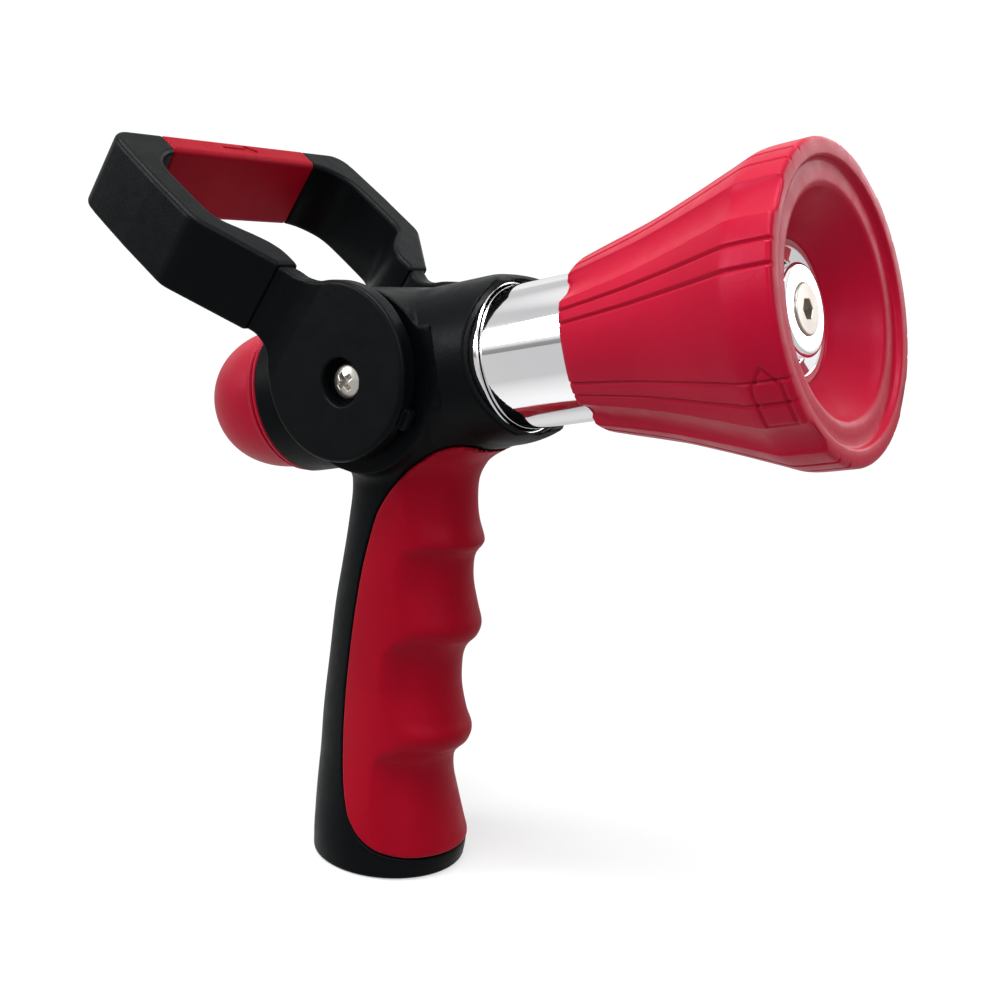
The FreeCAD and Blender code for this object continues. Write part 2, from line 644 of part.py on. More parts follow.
# ---------------------------------------------------------------- bail
def bail_arm():
    """Round disc and short arm on the +Y side."""
    disc = rod_y(DISC_R, 10, 35, x=DISC_X, z=DISC_Z)
    neck_low = BAIL_LOW + NECK_INSET
    neck_high = BAIL_HIGH - NECK_INSET
    neck_end = SEAM_U + 8
    neck = plate([(0, neck_low), (neck_end, neck_low), (neck_end, neck_high), (0, neck_high)])
    web_start = 6
    web_end = SEAM_U - 3
    web = plate([(web_start, neck_low - 9), (web_end, neck_low), (web_end, neck_high),
                 (web_start, neck_high + 7)])
    side = band([(-FAR, DISC_BACK_Y), (-FAR, DISC_FACE_Y), (19.5, DISC_FACE_Y)] + TENON_OUTER
                + TENON_INNER + [(16.0, DISC_BACK_Y)], -FAR, FAR)
    arm = disc.fuse(neck).fuse(web).common(side)
    arm = arm.fuse(stop_lug()).fuse(rod_y(HUB_R, HUB_BACK_Y, DISC_BACK_Y + 1))
    square = SQUARE_HALF + SQUARE_SLACK
    arm = arm.cut(box((-square, HUB_BACK_Y - 1, -square), (square, SQUARE_END_Y + 0.05, square)))
    return arm.cut(rod_y(PIVOT_THREAD_R + 0.4, 0.0, FAR)).cut(rod_y(SINK_R, SINK_FLOOR_Y, FAR))


def plate(points):
    """Thick plate across the bail's arms from an outline of (u, v) points."""
    corners = [bail_point(u, 10, v) for u, v in points]
    return Part.Face(Part.makePolygon(corners + [corners[0]])).extrude(AXIS_Y * 25)


def stop_lug():
    ring = rod_y(LUG_R, DISC_BACK_Y, LUG_FACE_Y, x=DISC_X, z=DISC_Z)
    sector = box((10, 10, -4), (30, 30, 4))
    sector.rotate(ORIGIN, AXIS_Y, LUG_ANGLE)
    sector.translate(Vector(DISC_X, 0, DISC_Z))
    return ring.common(sector)


def bail_loop():
    """Black U-shaped sleeve over both arms."""
    corner = arc_points((LOOP_END_U - 5.0, 35.3), 5.0, 0, 78, 5)
    bar_u = LOOP_END_U - LOOP_BAR
    solid = band([(LOOP_END_U, 0)] + corner + LOOP_OUTER + LOOP_INNER + [(bar_u, 25.4), (bar_u, 0)])
    pocket = band([(SEAM_U - 1, 20.87), (SEAM_U - 1, 26.3)] + TENON_OUTER + TENON_INNER,
                  BAIL_LOW + NECK_INSET, BAIL_HIGH - NECK_INSET)
    solid = solid.cut(pocket)
    loop = solid.fuse(mirror_y(solid))
    grip_space = band([(60, -GRIP_HALF), (95, -GRIP_HALF), (95, GRIP_HALF), (60, GRIP_HALF)], -FAR, FAR)
    return loop.cut(grip_space).fuse(bail_core()).removeSplitter()


def bail_core():
    """Bar of the loop that the red grip is moulded round."""
    low_u = 75.4
    high_u = 78.6
    half = GRIP_HALF + 1
    return band([(low_u, -half), (high_u, -half), (high_u, half), (low_u, half)], BAIL_LOW + 4, BAIL_HIGH - 4)


def bail_grip():
    proud = 0.2
    low_u = LOOP_END_U - LOOP_BAR - proud
    high_u = LOOP_END_U + proud
    shape = band([(low_u, -GRIP_HALF), (high_u, -GRIP_HALF), (high_u, GRIP_HALF), (low_u, GRIP_HALF)],
                 BAIL_LOW - proud, BAIL_HIGH + proud)
    return shape.cut(bail_core())


def pivot_screw():
    crown = [(PIVOT_HEAD_Y - 1.1, PIVOT_HEAD_R), (PIVOT_HEAD_Y - 0.4, PIVOT_HEAD_R - 0.7),
             (PIVOT_HEAD_Y, PIVOT_HEAD_R - 2.1), (PIVOT_HEAD_Y, 0)]
    profile = [(SINK_FLOOR_Y, 0), (SINK_FLOOR_Y, PIVOT_HEAD_R)] + crown
    outline = Part.makePolygon([Vector(radius, y, 0) for y, radius in profile + [profile[0]]])
    head = Part.Face(outline).revolve(ORIGIN, AXIS_Y, 360)
    screw = head.fuse(rod_y(PIVOT_THREAD_R, STEM_GROOVE_Y[0] - 0.2, SINK_FLOOR_Y + 0.4))
    cross_y = PIVOT_HEAD_Y - 1.2
    arm = 2.1
    half = 0.55
    cross = box((-arm, cross_y, -half), (arm, PIVOT_HEAD_Y + 1, half))
    return screw.cut(cross.fuse(box((-half, cross_y, -arm), (half, PIVOT_HEAD_Y + 1, arm))))


def thrust_washer():
    return rod_y(WASHER_R, *WASHER_Y).cut(rod_y(STEM_R + 0.1, 0.0, FAR))


# ---------------------------------------------------------------- hose end
def hose_coupling():
    body = coupling_outer()
    body = body.cut(rod_z(HOSE_THREAD_R, -1.0, HOSE_THREAD_LENGTH))
    body = body.cut(rod_z(HOSE_WASHER_R, HOSE_THREAD_LENGTH, WASHER_TOP))
    body = body.cut(rod_z(SCREEN_R, WASHER_TOP - 1, SCREEN_SEAT_Z))
    return body.cut(set_in_world(casting_form()))


def hose_washer():
    ring = rod_z(HOSE_WASHER_R, HOSE_THREAD_LENGTH, WASHER_TOP)
    return ring.cut(rod_z(HOSE_WASHER_BORE_R, 0.0, FAR))


def inlet_screen():
    disc = rod_z(SCREEN_R, *SCREEN_Z)
    reach = 3
    for column in range(-reach, reach + 1):
        for row in range(-reach, reach + 1):
            x = column * SCREEN_PITCH
            y = row * SCREEN_PITCH
            if math.hypot(x, y) < SCREEN_R - 1.5:
                disc = disc.cut(rod_z(SCREEN_HOLE_R, 0.0, FAR, x, y))
    return disc


# ---------------------------------------------------------------- export
def all_parts():
    insert = grip_insert()
    cover = whole_cover(insert)
    parts = {
        "valve_body": valve_body(),
        "body_cover": cover.cut(end_ring_space()),
        "base_ring": cover.common(end_ring_space()),
        "grip_insert": insert,
        "hose_coupling": hose_coupling(),
        "hose_washer": hose_washer(),
        "inlet_screen": inlet_screen(),
    }
    barrel_frame = {
        "collar_ring": collar_ring(),
        "rear_plug": rear_plug(),
        "rear_plug_seal": rear_plug_seal(),
        "rear_cap": rear_cap(),
        "front_seat": seat(SEAT_NEAR, SEAT_FRONT_X),
        "rear_seat": seat(SEAT_REAR_X, -SEAT_NEAR),
        "inlet_seat": inlet_seat(),
        "valve_ball": valve_ball(),
        "ball_stems": both_sides(ball_stem()),
        "stem_seals": both_sides(stem_seal()),
        "thrust_washers": both_sides(thrust_washer()),
        "pivot_screws": both_sides(pivot_screw()),
        "bail_arm_left": bail_arm(),
        "bail_arm_right": mirror_y(bail_arm()),
        "bail_loop": bail_loop(),
        "bail_grip": bail_grip(),
        "outlet_spindle": spindle(),
        "spindle_seals": spindle_rings(),
        "stem_post": stem_post(),
        "stem_head": stem_head(),
        "stem_screw": stem_screw(),
        "follower_ring": follower_ring(),
        "spray_sleeve": spray_sleeve(),
        "bumper": bumper(),
    }
    for name, shape in barrel_frame.items():
        parts[name] = set_in_world(shape)
    return parts


def main():
    os.makedirs("parts", exist_ok=True)
    for name, shape in all_parts().items():
        solids = shape.Solids
        print(name, "solids", len(solids), "valid", shape.isValid(), "volume", round(shape.Volume, 1))
        if len(solids) == 1:
            shape = solids[0]
        shape.exportStep("parts/" + name + ".step")


main()
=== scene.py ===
import json
import math

import bpy
import numpy as np
from mathutils import Matrix, Vector


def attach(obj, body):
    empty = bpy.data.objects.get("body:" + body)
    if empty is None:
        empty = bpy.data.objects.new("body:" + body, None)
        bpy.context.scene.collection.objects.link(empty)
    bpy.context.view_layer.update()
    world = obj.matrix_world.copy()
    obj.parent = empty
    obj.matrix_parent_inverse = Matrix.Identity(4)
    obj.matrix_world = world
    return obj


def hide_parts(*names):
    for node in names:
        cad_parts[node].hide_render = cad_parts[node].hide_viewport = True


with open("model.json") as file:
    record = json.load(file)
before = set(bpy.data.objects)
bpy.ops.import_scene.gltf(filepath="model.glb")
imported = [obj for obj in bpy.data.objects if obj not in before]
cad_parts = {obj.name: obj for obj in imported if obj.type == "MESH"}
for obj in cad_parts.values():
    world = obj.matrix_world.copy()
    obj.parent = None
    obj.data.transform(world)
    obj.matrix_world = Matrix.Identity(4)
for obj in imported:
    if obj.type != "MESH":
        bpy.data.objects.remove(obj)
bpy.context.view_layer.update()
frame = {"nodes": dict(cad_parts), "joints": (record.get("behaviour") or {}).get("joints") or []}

# Pistol-grip fire hose nozzle: the visible surfaces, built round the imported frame.
# Shapes are worked out in millimetres and stored in metres.
#   world frame  - the CAD's own frame, Z up
#   barrel frame - origin where the bail's axis meets the barrel's axis, +X along the spray

MM = 0.001
JOINTS = {joint["name"]: joint for joint in frame["joints"]}
PIVOT = np.array(JOINTS["bail_turn"]["pos_m"]) / MM
SPRAY = np.array(JOINTS["pattern_twist"]["axis"])
SPRAY_COS = SPRAY[0]
SPRAY_SIN = SPRAY[2]


# ---------------------------------------------------------------- frames and small helpers
def to_barrel(x, y, z):
    """World millimetres to barrel millimetres."""
    dx = x - PIVOT[0]
    dz = z - PIVOT[2]
    return dx * SPRAY_COS + dz * SPRAY_SIN, y, dz * SPRAY_COS - dx * SPRAY_SIN


def to_world(points):
    """Barrel millimetres, one row per point, to world millimetres."""
    x, y, z = points.T
    return np.stack([
        PIVOT[0] + x * SPRAY_COS - z * SPRAY_SIN,
        PIVOT[1] + y,
        PIVOT[2] + x * SPRAY_SIN + z * SPRAY_COS,
    ], axis=1)


def smooth_curve(points, per_span):
    """Open Catmull-Rom curve through the points."""
    points = np.array(points, float)
    count = len(points)
    found = []
    for index in range(count - 1):
        p0 = points[max(index - 1, 0)]
        p1 = points[index]
        p2 = points[index + 1]
        p3 = points[min(index + 2, count - 1)]
        for t in np.arange(per_span) / per_span:
            found.append(0.5 * (2 * p1 + (p2 - p0) * t + (2 * p0 - 5 * p1 + 4 * p2 - p3) * t ** 2
                                + (3 * p1 - p0 - 3 * p2 + p3) * t ** 3))
    found.append(points[-1])
    return np.array(found)


def table(points):
    """A smooth function of one variable through (position, value) points."""
    curve = smooth_curve(points, 16)
    return lambda t: np.interp(t, curve[:, 0], curve[:, 1])


def smoothstep(low, high, t):
    share = np.clip((t - low) / (high - low), 0.0, 1.0)
    return share * share * (3 - 2 * share)


def link(name, mesh):
    piece = bpy.data.objects.new(name, mesh)
    bpy.context.scene.collection.objects.link(piece)
    return piece


def enclosed(points, faces):
    """Signed volume inside quads; negative if they face inwards."""
    a, b, c, d = (points[faces[:, corner]] for corner in range(4))
    return (np.cross(b - a, c - a) * a).sum() + (np.cross(c - a, d - a) * a).sum()


def mesh_piece(name, points, faces, normals=None):
    """An object from world millimetre points and quads."""
    mesh = bpy.data.meshes.new(name)
    mesh.vertices.add(len(points))
    mesh.vertices.foreach_set("co", (np.asarray(points) * MM).astype(np.float32).ravel())
    faces = np.asarray(faces, np.int32)
    if enclosed(np.asarray(points), faces) < 0:
        faces = faces[:, ::-1]
    mesh.loops.add(faces.size)
    mesh.loops.foreach_set("vertex_index", np.ascontiguousarray(faces).ravel())
    mesh.polygons.add(len(faces))
    mesh.polygons.foreach_set("loop_start", np.arange(0, faces.size, faces.shape[1], dtype=np.int32))
    mesh.polygons.foreach_set("use_smooth", np.ones(len(faces), bool))
    mesh.update(calc_edges=True)
    mesh.validate()
    if normals is not None:
        mesh.normals_split_custom_set_from_vertices([tuple(n) for n in normals])
    return link(name, mesh)


# ---------------------------------------------------------------- distance fields
def union_round(a, b, radius):
    """Join of two distance fields with a concave fillet."""
    near = np.hypot(np.maximum(radius - a, 0), np.maximum(radius - b, 0))
    return np.maximum(radius, np.minimum(a, b)) - near


def common_round(a, b, radius):
    """Overlap of two distance fields with a rounded edge."""
    return -union_round(-a, -b, radius)


class OutlineMap:
    """Signed distance to a closed outline in a plane, kept on a fine grid."""

    def __init__(self, outline, cell, margin=5.0):
        outline = np.array(outline, float)
        self.low = outline.min(0) - margin
        self.cell = cell
        size = np.ceil((outline.max(0) + margin - self.low) / cell).astype(int) + 1
        u = (self.low[0] + cell * np.arange(size[0]))[:, None]
        v = (self.low[1] + cell * np.arange(size[1]))[None, :]
        nearest = np.full(size, 1e9)
        inside = np.zeros(size, bool)
        for (u0, v0), (u1, v1) in zip(outline, np.roll(outline, -1, axis=0)):
            du, dv = u1 - u0, v1 - v0
            share = np.clip(((u - u0) * du + (v - v0) * dv) / (du * du + dv * dv + 1e-12), 0, 1)
            nearest = np.minimum(nearest, (u - u0 - share * du) ** 2 + (v - v0 - share * dv) ** 2)
            if v0 != v1:
                inside ^= ((v0 > v) != (v1 > v)) & (u < u0 + (v - v0) * du / dv)
        self.grid = np.where(inside, -1.0, 1.0) * np.sqrt(nearest)

    def __call__(self, u, v):
        u, v = np.broadcast_arrays(u, v)
        s = np.clip((u - self.low[0]) / self.cell, 0, self.grid.shape[0] - 1.001)
        t = np.clip((v - self.low[1]) / self.cell, 0, self.grid.shape[1] - 1.001)
        i, j = s.astype(np.int32), t.astype(np.int32)
        s, t = s - i, t - j
        g = self.grid
        return (g[i, j] * (1 - s) * (1 - t) + g[i + 1, j] * s * (1 - t)
                + g[i, j + 1] * (1 - s) * t + g[i + 1, j + 1] * s * t)


def gradient(solid, points, reach):
    """Gradient of a field at points by central differences."""
    found = np.empty_like(points)
    for axis in range(3):
        shift = np.zeros(3)
        shift[axis] = reach
        found[:, axis] = (solid(*(points + shift).T) - solid(*(points - shift).T)) / (2 * reach)
    return found


# The corners and edges of one grid cell.
CELL_CORNERS = np.array([[i, j, k] for i in (0, 1) for j in (0, 1) for k in (0, 1)])
CELL_EDGES = [(a, b) for a in range(8) for b in range(a + 1, 8)
              if np.abs(CELL_CORNERS[a] - CELL_CORNERS[b]).sum() == 1]


def surface_net(name, solid, low, high, step, place=None):
    """A closed quad mesh on the zero surface of a distance field.
    One point per cell that the surface crosses, moved onto the surface by a few Newton steps."""
    axes = [np.arange(a, b + step, step) for a, b in zip(low, high)]
    shape = [len(axis) for axis in axes]
    field = solid(axes[0][:, None, None], axes[1][None, :, None], axes[2][None, None, :])
    field = np.broadcast_to(field, shape)
    inside = field < 0
    full = np.zeros([n - 1 for n in shape], np.int8)
    for i, j, k in CELL_CORNERS:
        full += inside[i:i + shape[0] - 1, j:j + shape[1] - 1, k:k + shape[2] - 1]
    cells = np.argwhere((full > 0) & (full < 8))
    number = np.full(full.shape, -1, np.int32)
    number[tuple(cells.T)] = np.arange(len(cells))
    values = np.stack([field[tuple((cells + corner).T)] for corner in CELL_CORNERS], axis=1)
    total = np.zeros((len(cells), 3))
    count = np.zeros(len(cells))
    for a, b in CELL_EDGES:
        crossed = (values[:, a] < 0) != (values[:, b] < 0)
        gap = np.where(crossed, values[:, a] - values[:, b], 1.0)
        share = np.where(crossed, values[:, a] / gap, 0.0)[:, None]
        spot = CELL_CORNERS[a] + share * (CELL_CORNERS[b] - CELL_CORNERS[a])
        total += np.where(crossed[:, None], spot, 0.0)
        count += crossed
    points = np.array([axis[0] for axis in axes]) + step * (cells + total / count[:, None])
    faces = []
    for axis in range(3):
        one, two = (axis + 1) % 3, (axis + 2) % 3
        ahead = [slice(None)] * 3
        ahead[axis] = slice(1, None)
        behind = [slice(None)] * 3
        behind[axis] = slice(None, -1)
        first, second = inside[tuple(behind)], inside[tuple(ahead)]
        edges = np.argwhere(first != second)
        edges = edges[(edges[:, one] > 0) & (edges[:, two] > 0)]
        ring = []
        for back_one, back_two in ((1, 1), (0, 1), (0, 0), (1, 0)):
            spot = edges.copy()
            spot[:, one] -= back_one
            spot[:, two] -= back_two
            ring.append(number[tuple(spot.T)])
        quads = np.stack(ring, axis=1)
        leaving = first[tuple(edges.T)]
        faces.append(np.where(leaving[:, None], quads, quads[:, ::-1]))
    faces = np.concatenate(faces)
    for _ in range(3):
        slope = gradient(solid, points, step * 0.05)
        off = solid(*points.T) / np.maximum((slope ** 2).sum(1), 0.25)
        points = points - slope * np.clip(off, -0.4 * step, 0.4 * step)[:, None]
    normals = gradient(solid, points, step * 0.3)
    normals /= np.maximum(np.linalg.norm(normals, axis=1), 1e-9)[:, None]
    if place is not None:
        origin = place(np.zeros((1, 3)))
        normals = place(normals) - origin
        points = place(points)
    return mesh_piece(name, points, faces, normals)


def grid_faces(rings, segments):
    """Quads of a closed grid: rings joined end to end, each ring closed."""
    ring = np.arange(rings)[:, None]
    seg = np.arange(segments)[None, :]
    ahead = (ring + 1) % rings
    beside = (seg + 1) % segments
    quads = np.stack([ring * segments + seg, ring * segments + beside,
                      ahead * segments + beside, ahead * segments + seg], axis=2)
    return quads.reshape(-1, 4)


def lathe(name, profile, segments, place, shape=None):
    """A hollow turned piece: profile is a closed loop of (along, radius) points, run outside first.
    shape(along, radius, angle) may move the points; the angle runs from -Y towards +Z."""
    along, radius = np.array(profile, float).T
    angle = np.arange(segments) * 2 * math.pi / segments
    along, radius, angle = (np.ascontiguousarray(a) for a in np.broadcast_arrays(
        along[:, None], radius[:, None], angle[None, :]))
    if shape is not None:
        along, radius = shape(along, radius, angle)
    points = np.stack([along, -radius * np.cos(angle), radius * np.sin(angle)], axis=2).reshape(-1, 3)
    return mesh_piece(name, place(points), grid_faces(len(profile), segments))


def solid_lathe(name, profile, segments, place):
    """A turned piece that closes on its axis at both ends of the profile."""
    along, radius = np.array(profile, float).T
    angle = np.arange(segments) * 2 * math.pi / segments
    body = slice(1, len(along) - 1)
    rings = len(along) - 2
    points = np.stack(np.broadcast_arrays(
        along[body, None], -radius[body, None] * np.cos(angle), radius[body, None] * np.sin(angle)), axis=2)
    points = np.concatenate([points.reshape(-1, 3), [[along[0], 0, 0], [along[-1], 0, 0]]])
    quads = grid_faces(rings, segments)[:-segments]
    seg = np.arange(segments)
    beside = (seg + 1) % segments
    start, end = len(points) - 2, len(points) - 1
    last = (rings - 1) * segments
    caps = [(start, b, a) for a, b in zip(seg, beside)]
    caps += [(end, last + a, last + b) for a, b in zip(seg, beside)]
    mesh = bpy.data.meshes.new(name)
    faces = [tuple(int(i) for i in q) for q in quads] + [tuple(int(i) for i in c) for c in caps]
    mesh.from_pydata([tuple(p) for p in place(points) * MM], [], faces)
    mesh.polygons.foreach_set("use_smooth", np.ones(len(faces), bool))
    mesh.update()
    return link(name, mesh)


def rounded(points, radii, steps=4):
    """A closed loop with its corners rounded; radii has one number for each point."""
    points = np.array(points, float)
    count = len(points)
    found = []
    for index in range(count):
        here = points[index]
        before = points[index - 1] - here
        after = points[(index + 1) % count] - here
        reach = min(radii[index], 0.45 * np.linalg.norm(before), 0.45 * np.linalg.norm(after))
        if reach < 1e-6:
            found.append(here)
            continue
        start = here + before / np.linalg.norm(before) * reach
        end = here + after / np.linalg.norm(after) * reach
        for t in np.arange(steps + 1) / steps:
            found.append((1 - t) ** 2 * start + 2 * t * (1 - t) * here + t ** 2 * end)
    return np.array(found)


def refine(points, longest):
    """Adds points along the long straight runs of a closed loop."""
    found = []
    points = np.array(points, float)
    for here, after in zip(points, np.roll(points, -1, axis=0)):
        parts = max(1, int(math.ceil(np.linalg.norm(after - here) / longest)))
        for part in range(parts):
            found.append(here + (after - here) * part / parts)
    return np.array(found)


# ---------------------------------------------------------------- black cover and red grip insert
COVER_R = 19.6
COVER_REAR_X = -31.4
CASTING_R = 17.4
DRUM_R = 21.6                     # valve drum across the barrel
DRUM_HALF = 17.2
RECESS_R = 25.0                   # round recess for the bail disc in each side
LIP_TIP_X = 37.5                  # collar lip: pointed top and bottom, set back at the sides
LIP_SIDE_X = 33.0
LIP_BEVEL_X = 30.5
LIP_TOP = COVER_R + 0.1
BEVEL_RUN = LIP_TIP_X - LIP_BEVEL_X
BEVEL_DROP = 2.6
BEVEL_R = (BEVEL_RUN ** 2 + BEVEL_DROP ** 2) / (2 * BEVEL_DROP)
BEVEL_CENTRE = LIP_TOP - BEVEL_R
SCOOP_R = (CASTING_R ** 2 + (LIP_TIP_X - LIP_SIDE_X) ** 2) / (2 * (LIP_TIP_X - LIP_SIDE_X))
REAR_EDGE = 0.5                   # edge radii and fillets of the cover
LIP_EDGE = 0.35
SCOOP_EDGE = 0.4
DRUM_EDGE = 0.4
DRUM_FILLET = 0.8
RECESS_EDGE = 0.3
BASE_EDGE = 1.0

CASTING_GAP = 0.02                # the hollow stands this far off the casting
CASTING_DRUM_R = 19.05
CASTING_SIDE_Y = 16.25
PIPE_R = 10.65
PIPE_AIM = (24.0, 95.1, -5.6)     # the pipe leans to x = -5.6 over 95.1 mm from z = 24
PIPE_TOP = 119.0
FOOT_R = 14.55
FOOT_TOP = 13.1

# Profiles of the grip by height: rear, half width, front over the crests, front in the finger scoops.
grip_rear = table([(-8, 19.0), (1.2, 19.1), (6, 19.5), (15, 20.4), (25, 20.7), (36, 20.8), (49, 19.9),
                   (62.4, 19.0), (74, 17.4), (83.8, 16.3), (92.5, 15.9), (100, 18.2), (108.5, 23.0),
                   (120, 30.0)])
grip_half = table([(-8, 18.9), (0, 19.0), (6, 18.9), (15, 17.4), (25, 16.0), (36, 15.5), (49, 15.2),
                   (62.4, 14.9), (74, 14.5), (83.8, 14.0), (92.5, 13.7), (100, 13.8), (108.5, 15.2),
                   (120, 16.0)])
grip_crest = table([(-8, 18.6), (0, 18.7), (6.3, 19.3), (20, 19.3), (35.6, 19.4), (50, 19.8), (62.4, 20.1),
                    (74, 19.8), (83.3, 19.1), (95, 19.2), (104.1, 20.2), (107, 23.0), (112, 28.0),
                    (120, 34.0)])
grip_front = table([(-8, 18.6), (0, 18.7), (3, 19.1), (6.3, 19.3), (9, 18.6), (14.2, 17.2), (19.4, 15.7),
                    (24.7, 14.9), (28.2, 15.2), (30.6, 16.9), (32.6, 18.8), (35.6, 19.4), (39.4, 17.7),
                    (45.8, 15.9), (52.3, 15.6), (55.6, 16.3), (57.6, 17.6), (59.5, 19.3), (62.4, 20.1),
                    (66.6, 18.8), (71.6, 17.3), (75.3, 16.8), (78.4, 16.9), (80.2, 17.6), (81.8, 18.8),
                    (83.3, 19.1), (87.9, 17.4), (92.8, 16.6), (97.8, 16.7), (101.5, 18.2), (104.1, 20.2),
                    (107, 23.0), (112, 28.0), (120, 34.0)])
GRIP_TOP = 113.0
SCOOP_BACK = 9.0                  # x where a shallow finger scoop starts to fade in
SCOOP_SWEEP = 1.05                # a deeper stretch of the scoop starts this much further back per mm
SCOOP_FADE = 6.0                  # length of the fade
SCOOP_SIDE = 0.62                 # share of a scoop's depth cut square to the skin

INSERT_OUTLINE = [(34.0, 5.0), (26.0, 5.1), (18.8, 5.2), (14.0, 5.6), (9.0, 6.8), (5.0, 8.9), (2.2, 11.2),
                  (-0.6, 14.8), (-3.6, 22.8), (-5.0, 32.3), (-5.4, 43.2), (-5.1, 53.8), (-4.4, 64.1),
                  (-3.1, 75.3), (-0.8, 86.5), (1.0, 91.0), (3.6, 95.2), (7.0, 99.2), (10.4, 102.4),
                  (13.8, 105.0), (17.4, 106.7), (21.0, 107.5), (26.0, 107.9), (34.0, 108.0)]
INSERT_FRONT = [[60.0, 108.0], [60.0, 5.0]]    # closes the outline in front of the grip
insert_region = OutlineMap(np.concatenate([smooth_curve(INSERT_OUTLINE, 8), INSERT_FRONT]), 0.25)
INSERT_DEPTH = 1.8
INSERT_PROUD = 0.22
INSERT_EDGE = 0.9
SEAM_GAP = 0.1                    # each side of the seam round the insert
BARREL_WALL = 0.5                 # the insert stops this far from the barrel
GRIP_FILLET = 4.5                 # grip into barrel


def grip_field(x, y, z):
    crest = grip_crest(z)
    full = crest - grip_front(z)
    start = SCOOP_BACK - SCOOP_SWEEP * full
    scoop = full * smoothstep(0.0, SCOOP_FADE, x - start)
    front = crest - scoop * (1 - SCOOP_SIDE)
    reach = np.where(x > 0, front, grip_rear(z))
    half = grip_half(z)
    far = np.hypot(x / reach, y / half) + 1e-6
    slope = np.hypot(x / reach ** 2, y / half ** 2) + 1e-6 / half
    return np.maximum(far * (far - 1) / slope + SCOOP_SIDE * scoop, z - GRIP_TOP)


def body_field(x, y, z):
    """Barrel and drum, in the barrel frame."""
    barrel = common_round(np.hypot(y, z) - COVER_R, COVER_REAR_X - x, REAR_EDGE)
    nose = np.hypot(x - LIP_BEVEL_X, np.maximum(np.abs(z) - BEVEL_CENTRE, 0)) - BEVEL_R
    bevel = np.where(x > LIP_BEVEL_X, nose, np.abs(z) - LIP_TOP)
    barrel = common_round(barrel, bevel, LIP_EDGE)
    scoop = SCOOP_R - np.hypot(x - LIP_SIDE_X - SCOOP_R, z)
    barrel = common_round(barrel, scoop, SCOOP_EDGE)
    drum = common_round(np.hypot(x, z) - DRUM_R, np.abs(y) - DRUM_HALF - 1, DRUM_EDGE)
    body = union_round(barrel, drum, DRUM_FILLET)
    recess = common_round(np.hypot(x, z) - RECESS_R, DRUM_HALF - np.abs(y), RECESS_EDGE)
    return common_round(body, -recess, RECESS_EDGE)


def whole_field(x, y, z):
    """Grip and body together, then the body alone."""
    body = body_field(*to_barrel(x, y, z))
    return union_round(body, common_round(grip_field(x, y, z), -z, BASE_EDGE), GRIP_FILLET), body


def hollow_field(x, y, z):
    """Room for the casting and the coupling."""
    bx, by, bz = to_barrel(x, y, z)
    beside_recess = np.maximum(np.hypot(bx, bz) - RECESS_R - 1, DRUM_HALF - 1 - np.abs(by))
    barrel = np.maximum(np.hypot(by, bz) - CASTING_R - CASTING_GAP, -beside_recess)
    drum = np.maximum(np.hypot(bx, bz) - CASTING_DRUM_R, np.abs(by) - CASTING_SIDE_Y)
    low, run, lean = PIPE_AIM
    pipe = np.maximum(np.hypot(x - lean * (z - low) / run, y) - PIPE_R, z - PIPE_TOP)
    foot = np.maximum(np.hypot(x, y) - FOOT_R, z - FOOT_TOP)
    return np.minimum(np.minimum(barrel, drum), np.minimum(pipe, foot))


def pocket_field(x, z, whole, body):
    """Room for the insert in the cover."""
    edge = insert_region(x, z) - SEAM_GAP
    floor = -(whole + INSERT_DEPTH + SEAM_GAP)
    return np.maximum(np.maximum(edge, floor), BARREL_WALL - body - SEAM_GAP)


def cover_field(x, y, z):
    whole, body = whole_field(x, y, z)
    shell = common_round(whole, -hollow_field(x, y, z), 0.3)
    return common_round(shell, -pocket_field(x, z, whole, body), 0.35)


def insert_field(x, y, z):
    whole, body = whole_field(x, y, z)
    shell = common_round(whole - INSERT_PROUD, insert_region(x, z) + SEAM_GAP, INSERT_EDGE)
    shell = common_round(shell, BARREL_WALL + SEAM_GAP - body, 0.5)
    return np.maximum(shell, -(whole + INSERT_DEPTH))


FINE = 0.55                       # cell of the cover's and the insert's meshes
cover = surface_net("cover", cover_field, (-44, -23, -1), (40, 23, 150), FINE)
insert = surface_net("grip_panel", insert_field, (-9, -21, 3), (28, 21, 114), FINE)

# ---------------------------------------------------------------- bail
BAIL_ANGLE = math.radians(133.4)
BAIL_COS = math.cos(BAIL_ANGLE)
BAIL_SIN = math.sin(BAIL_ANGLE)
BAIL_LOW = -7.0                   # edges of the loop across the bail
BAIL_HIGH = 12.5
BAIL_MIDDLE = (BAIL_LOW + BAIL_HIGH) / 2
DISC_R = 20.9                     # the arm's round disc, and its lug and hub
DISC_X = -1.9
DISC_Z = 2.6
DISC_BACK = 18.3
DISC_FACE = 23.3
DISC_EDGE = 1.1
LUG_R = DISC_R + 1.5
LUG_ANGLE = 38.0                  # degrees below the barrel's axis
LUG_HALF_ANGLE = 6.5
LUG_MM_PER_DEGREE = 0.36
LUG_FACE = 20.8
HUB_R = 9.0
HUB_MIDDLE = 17.5
HUB_HALF = 1.0
SINK_R = 5.6                      # counterbore for the pivot screw
SINK_FLOOR = 19.6
NECK_LOW = BAIL_LOW + 0.5         # the arm's neck between disc and loop
NECK_HIGH = BAIL_HIGH - 0.9
NECK_FILLET = 3.6
NECK_OVERLAP = 0.6                # the neck runs this far into the loop
SEAM_U = 27.8                     # where the arms enter the loop
ARM_TIP_U = 36.0
LOOP_END_U = 80.3
LOOP_EDGE = 1.3
CORNER_R = 5.5
CORNER_Y = 35.2
CORNER_SWEEP = np.radians(np.arange(0, 79, 6))
GRIP_LOW_U = 73.6                 # the red bail grip
GRIP_END = 24.6
BAR_LOW_U = GRIP_LOW_U + 0.2
GRIP_PROUD = 0.08
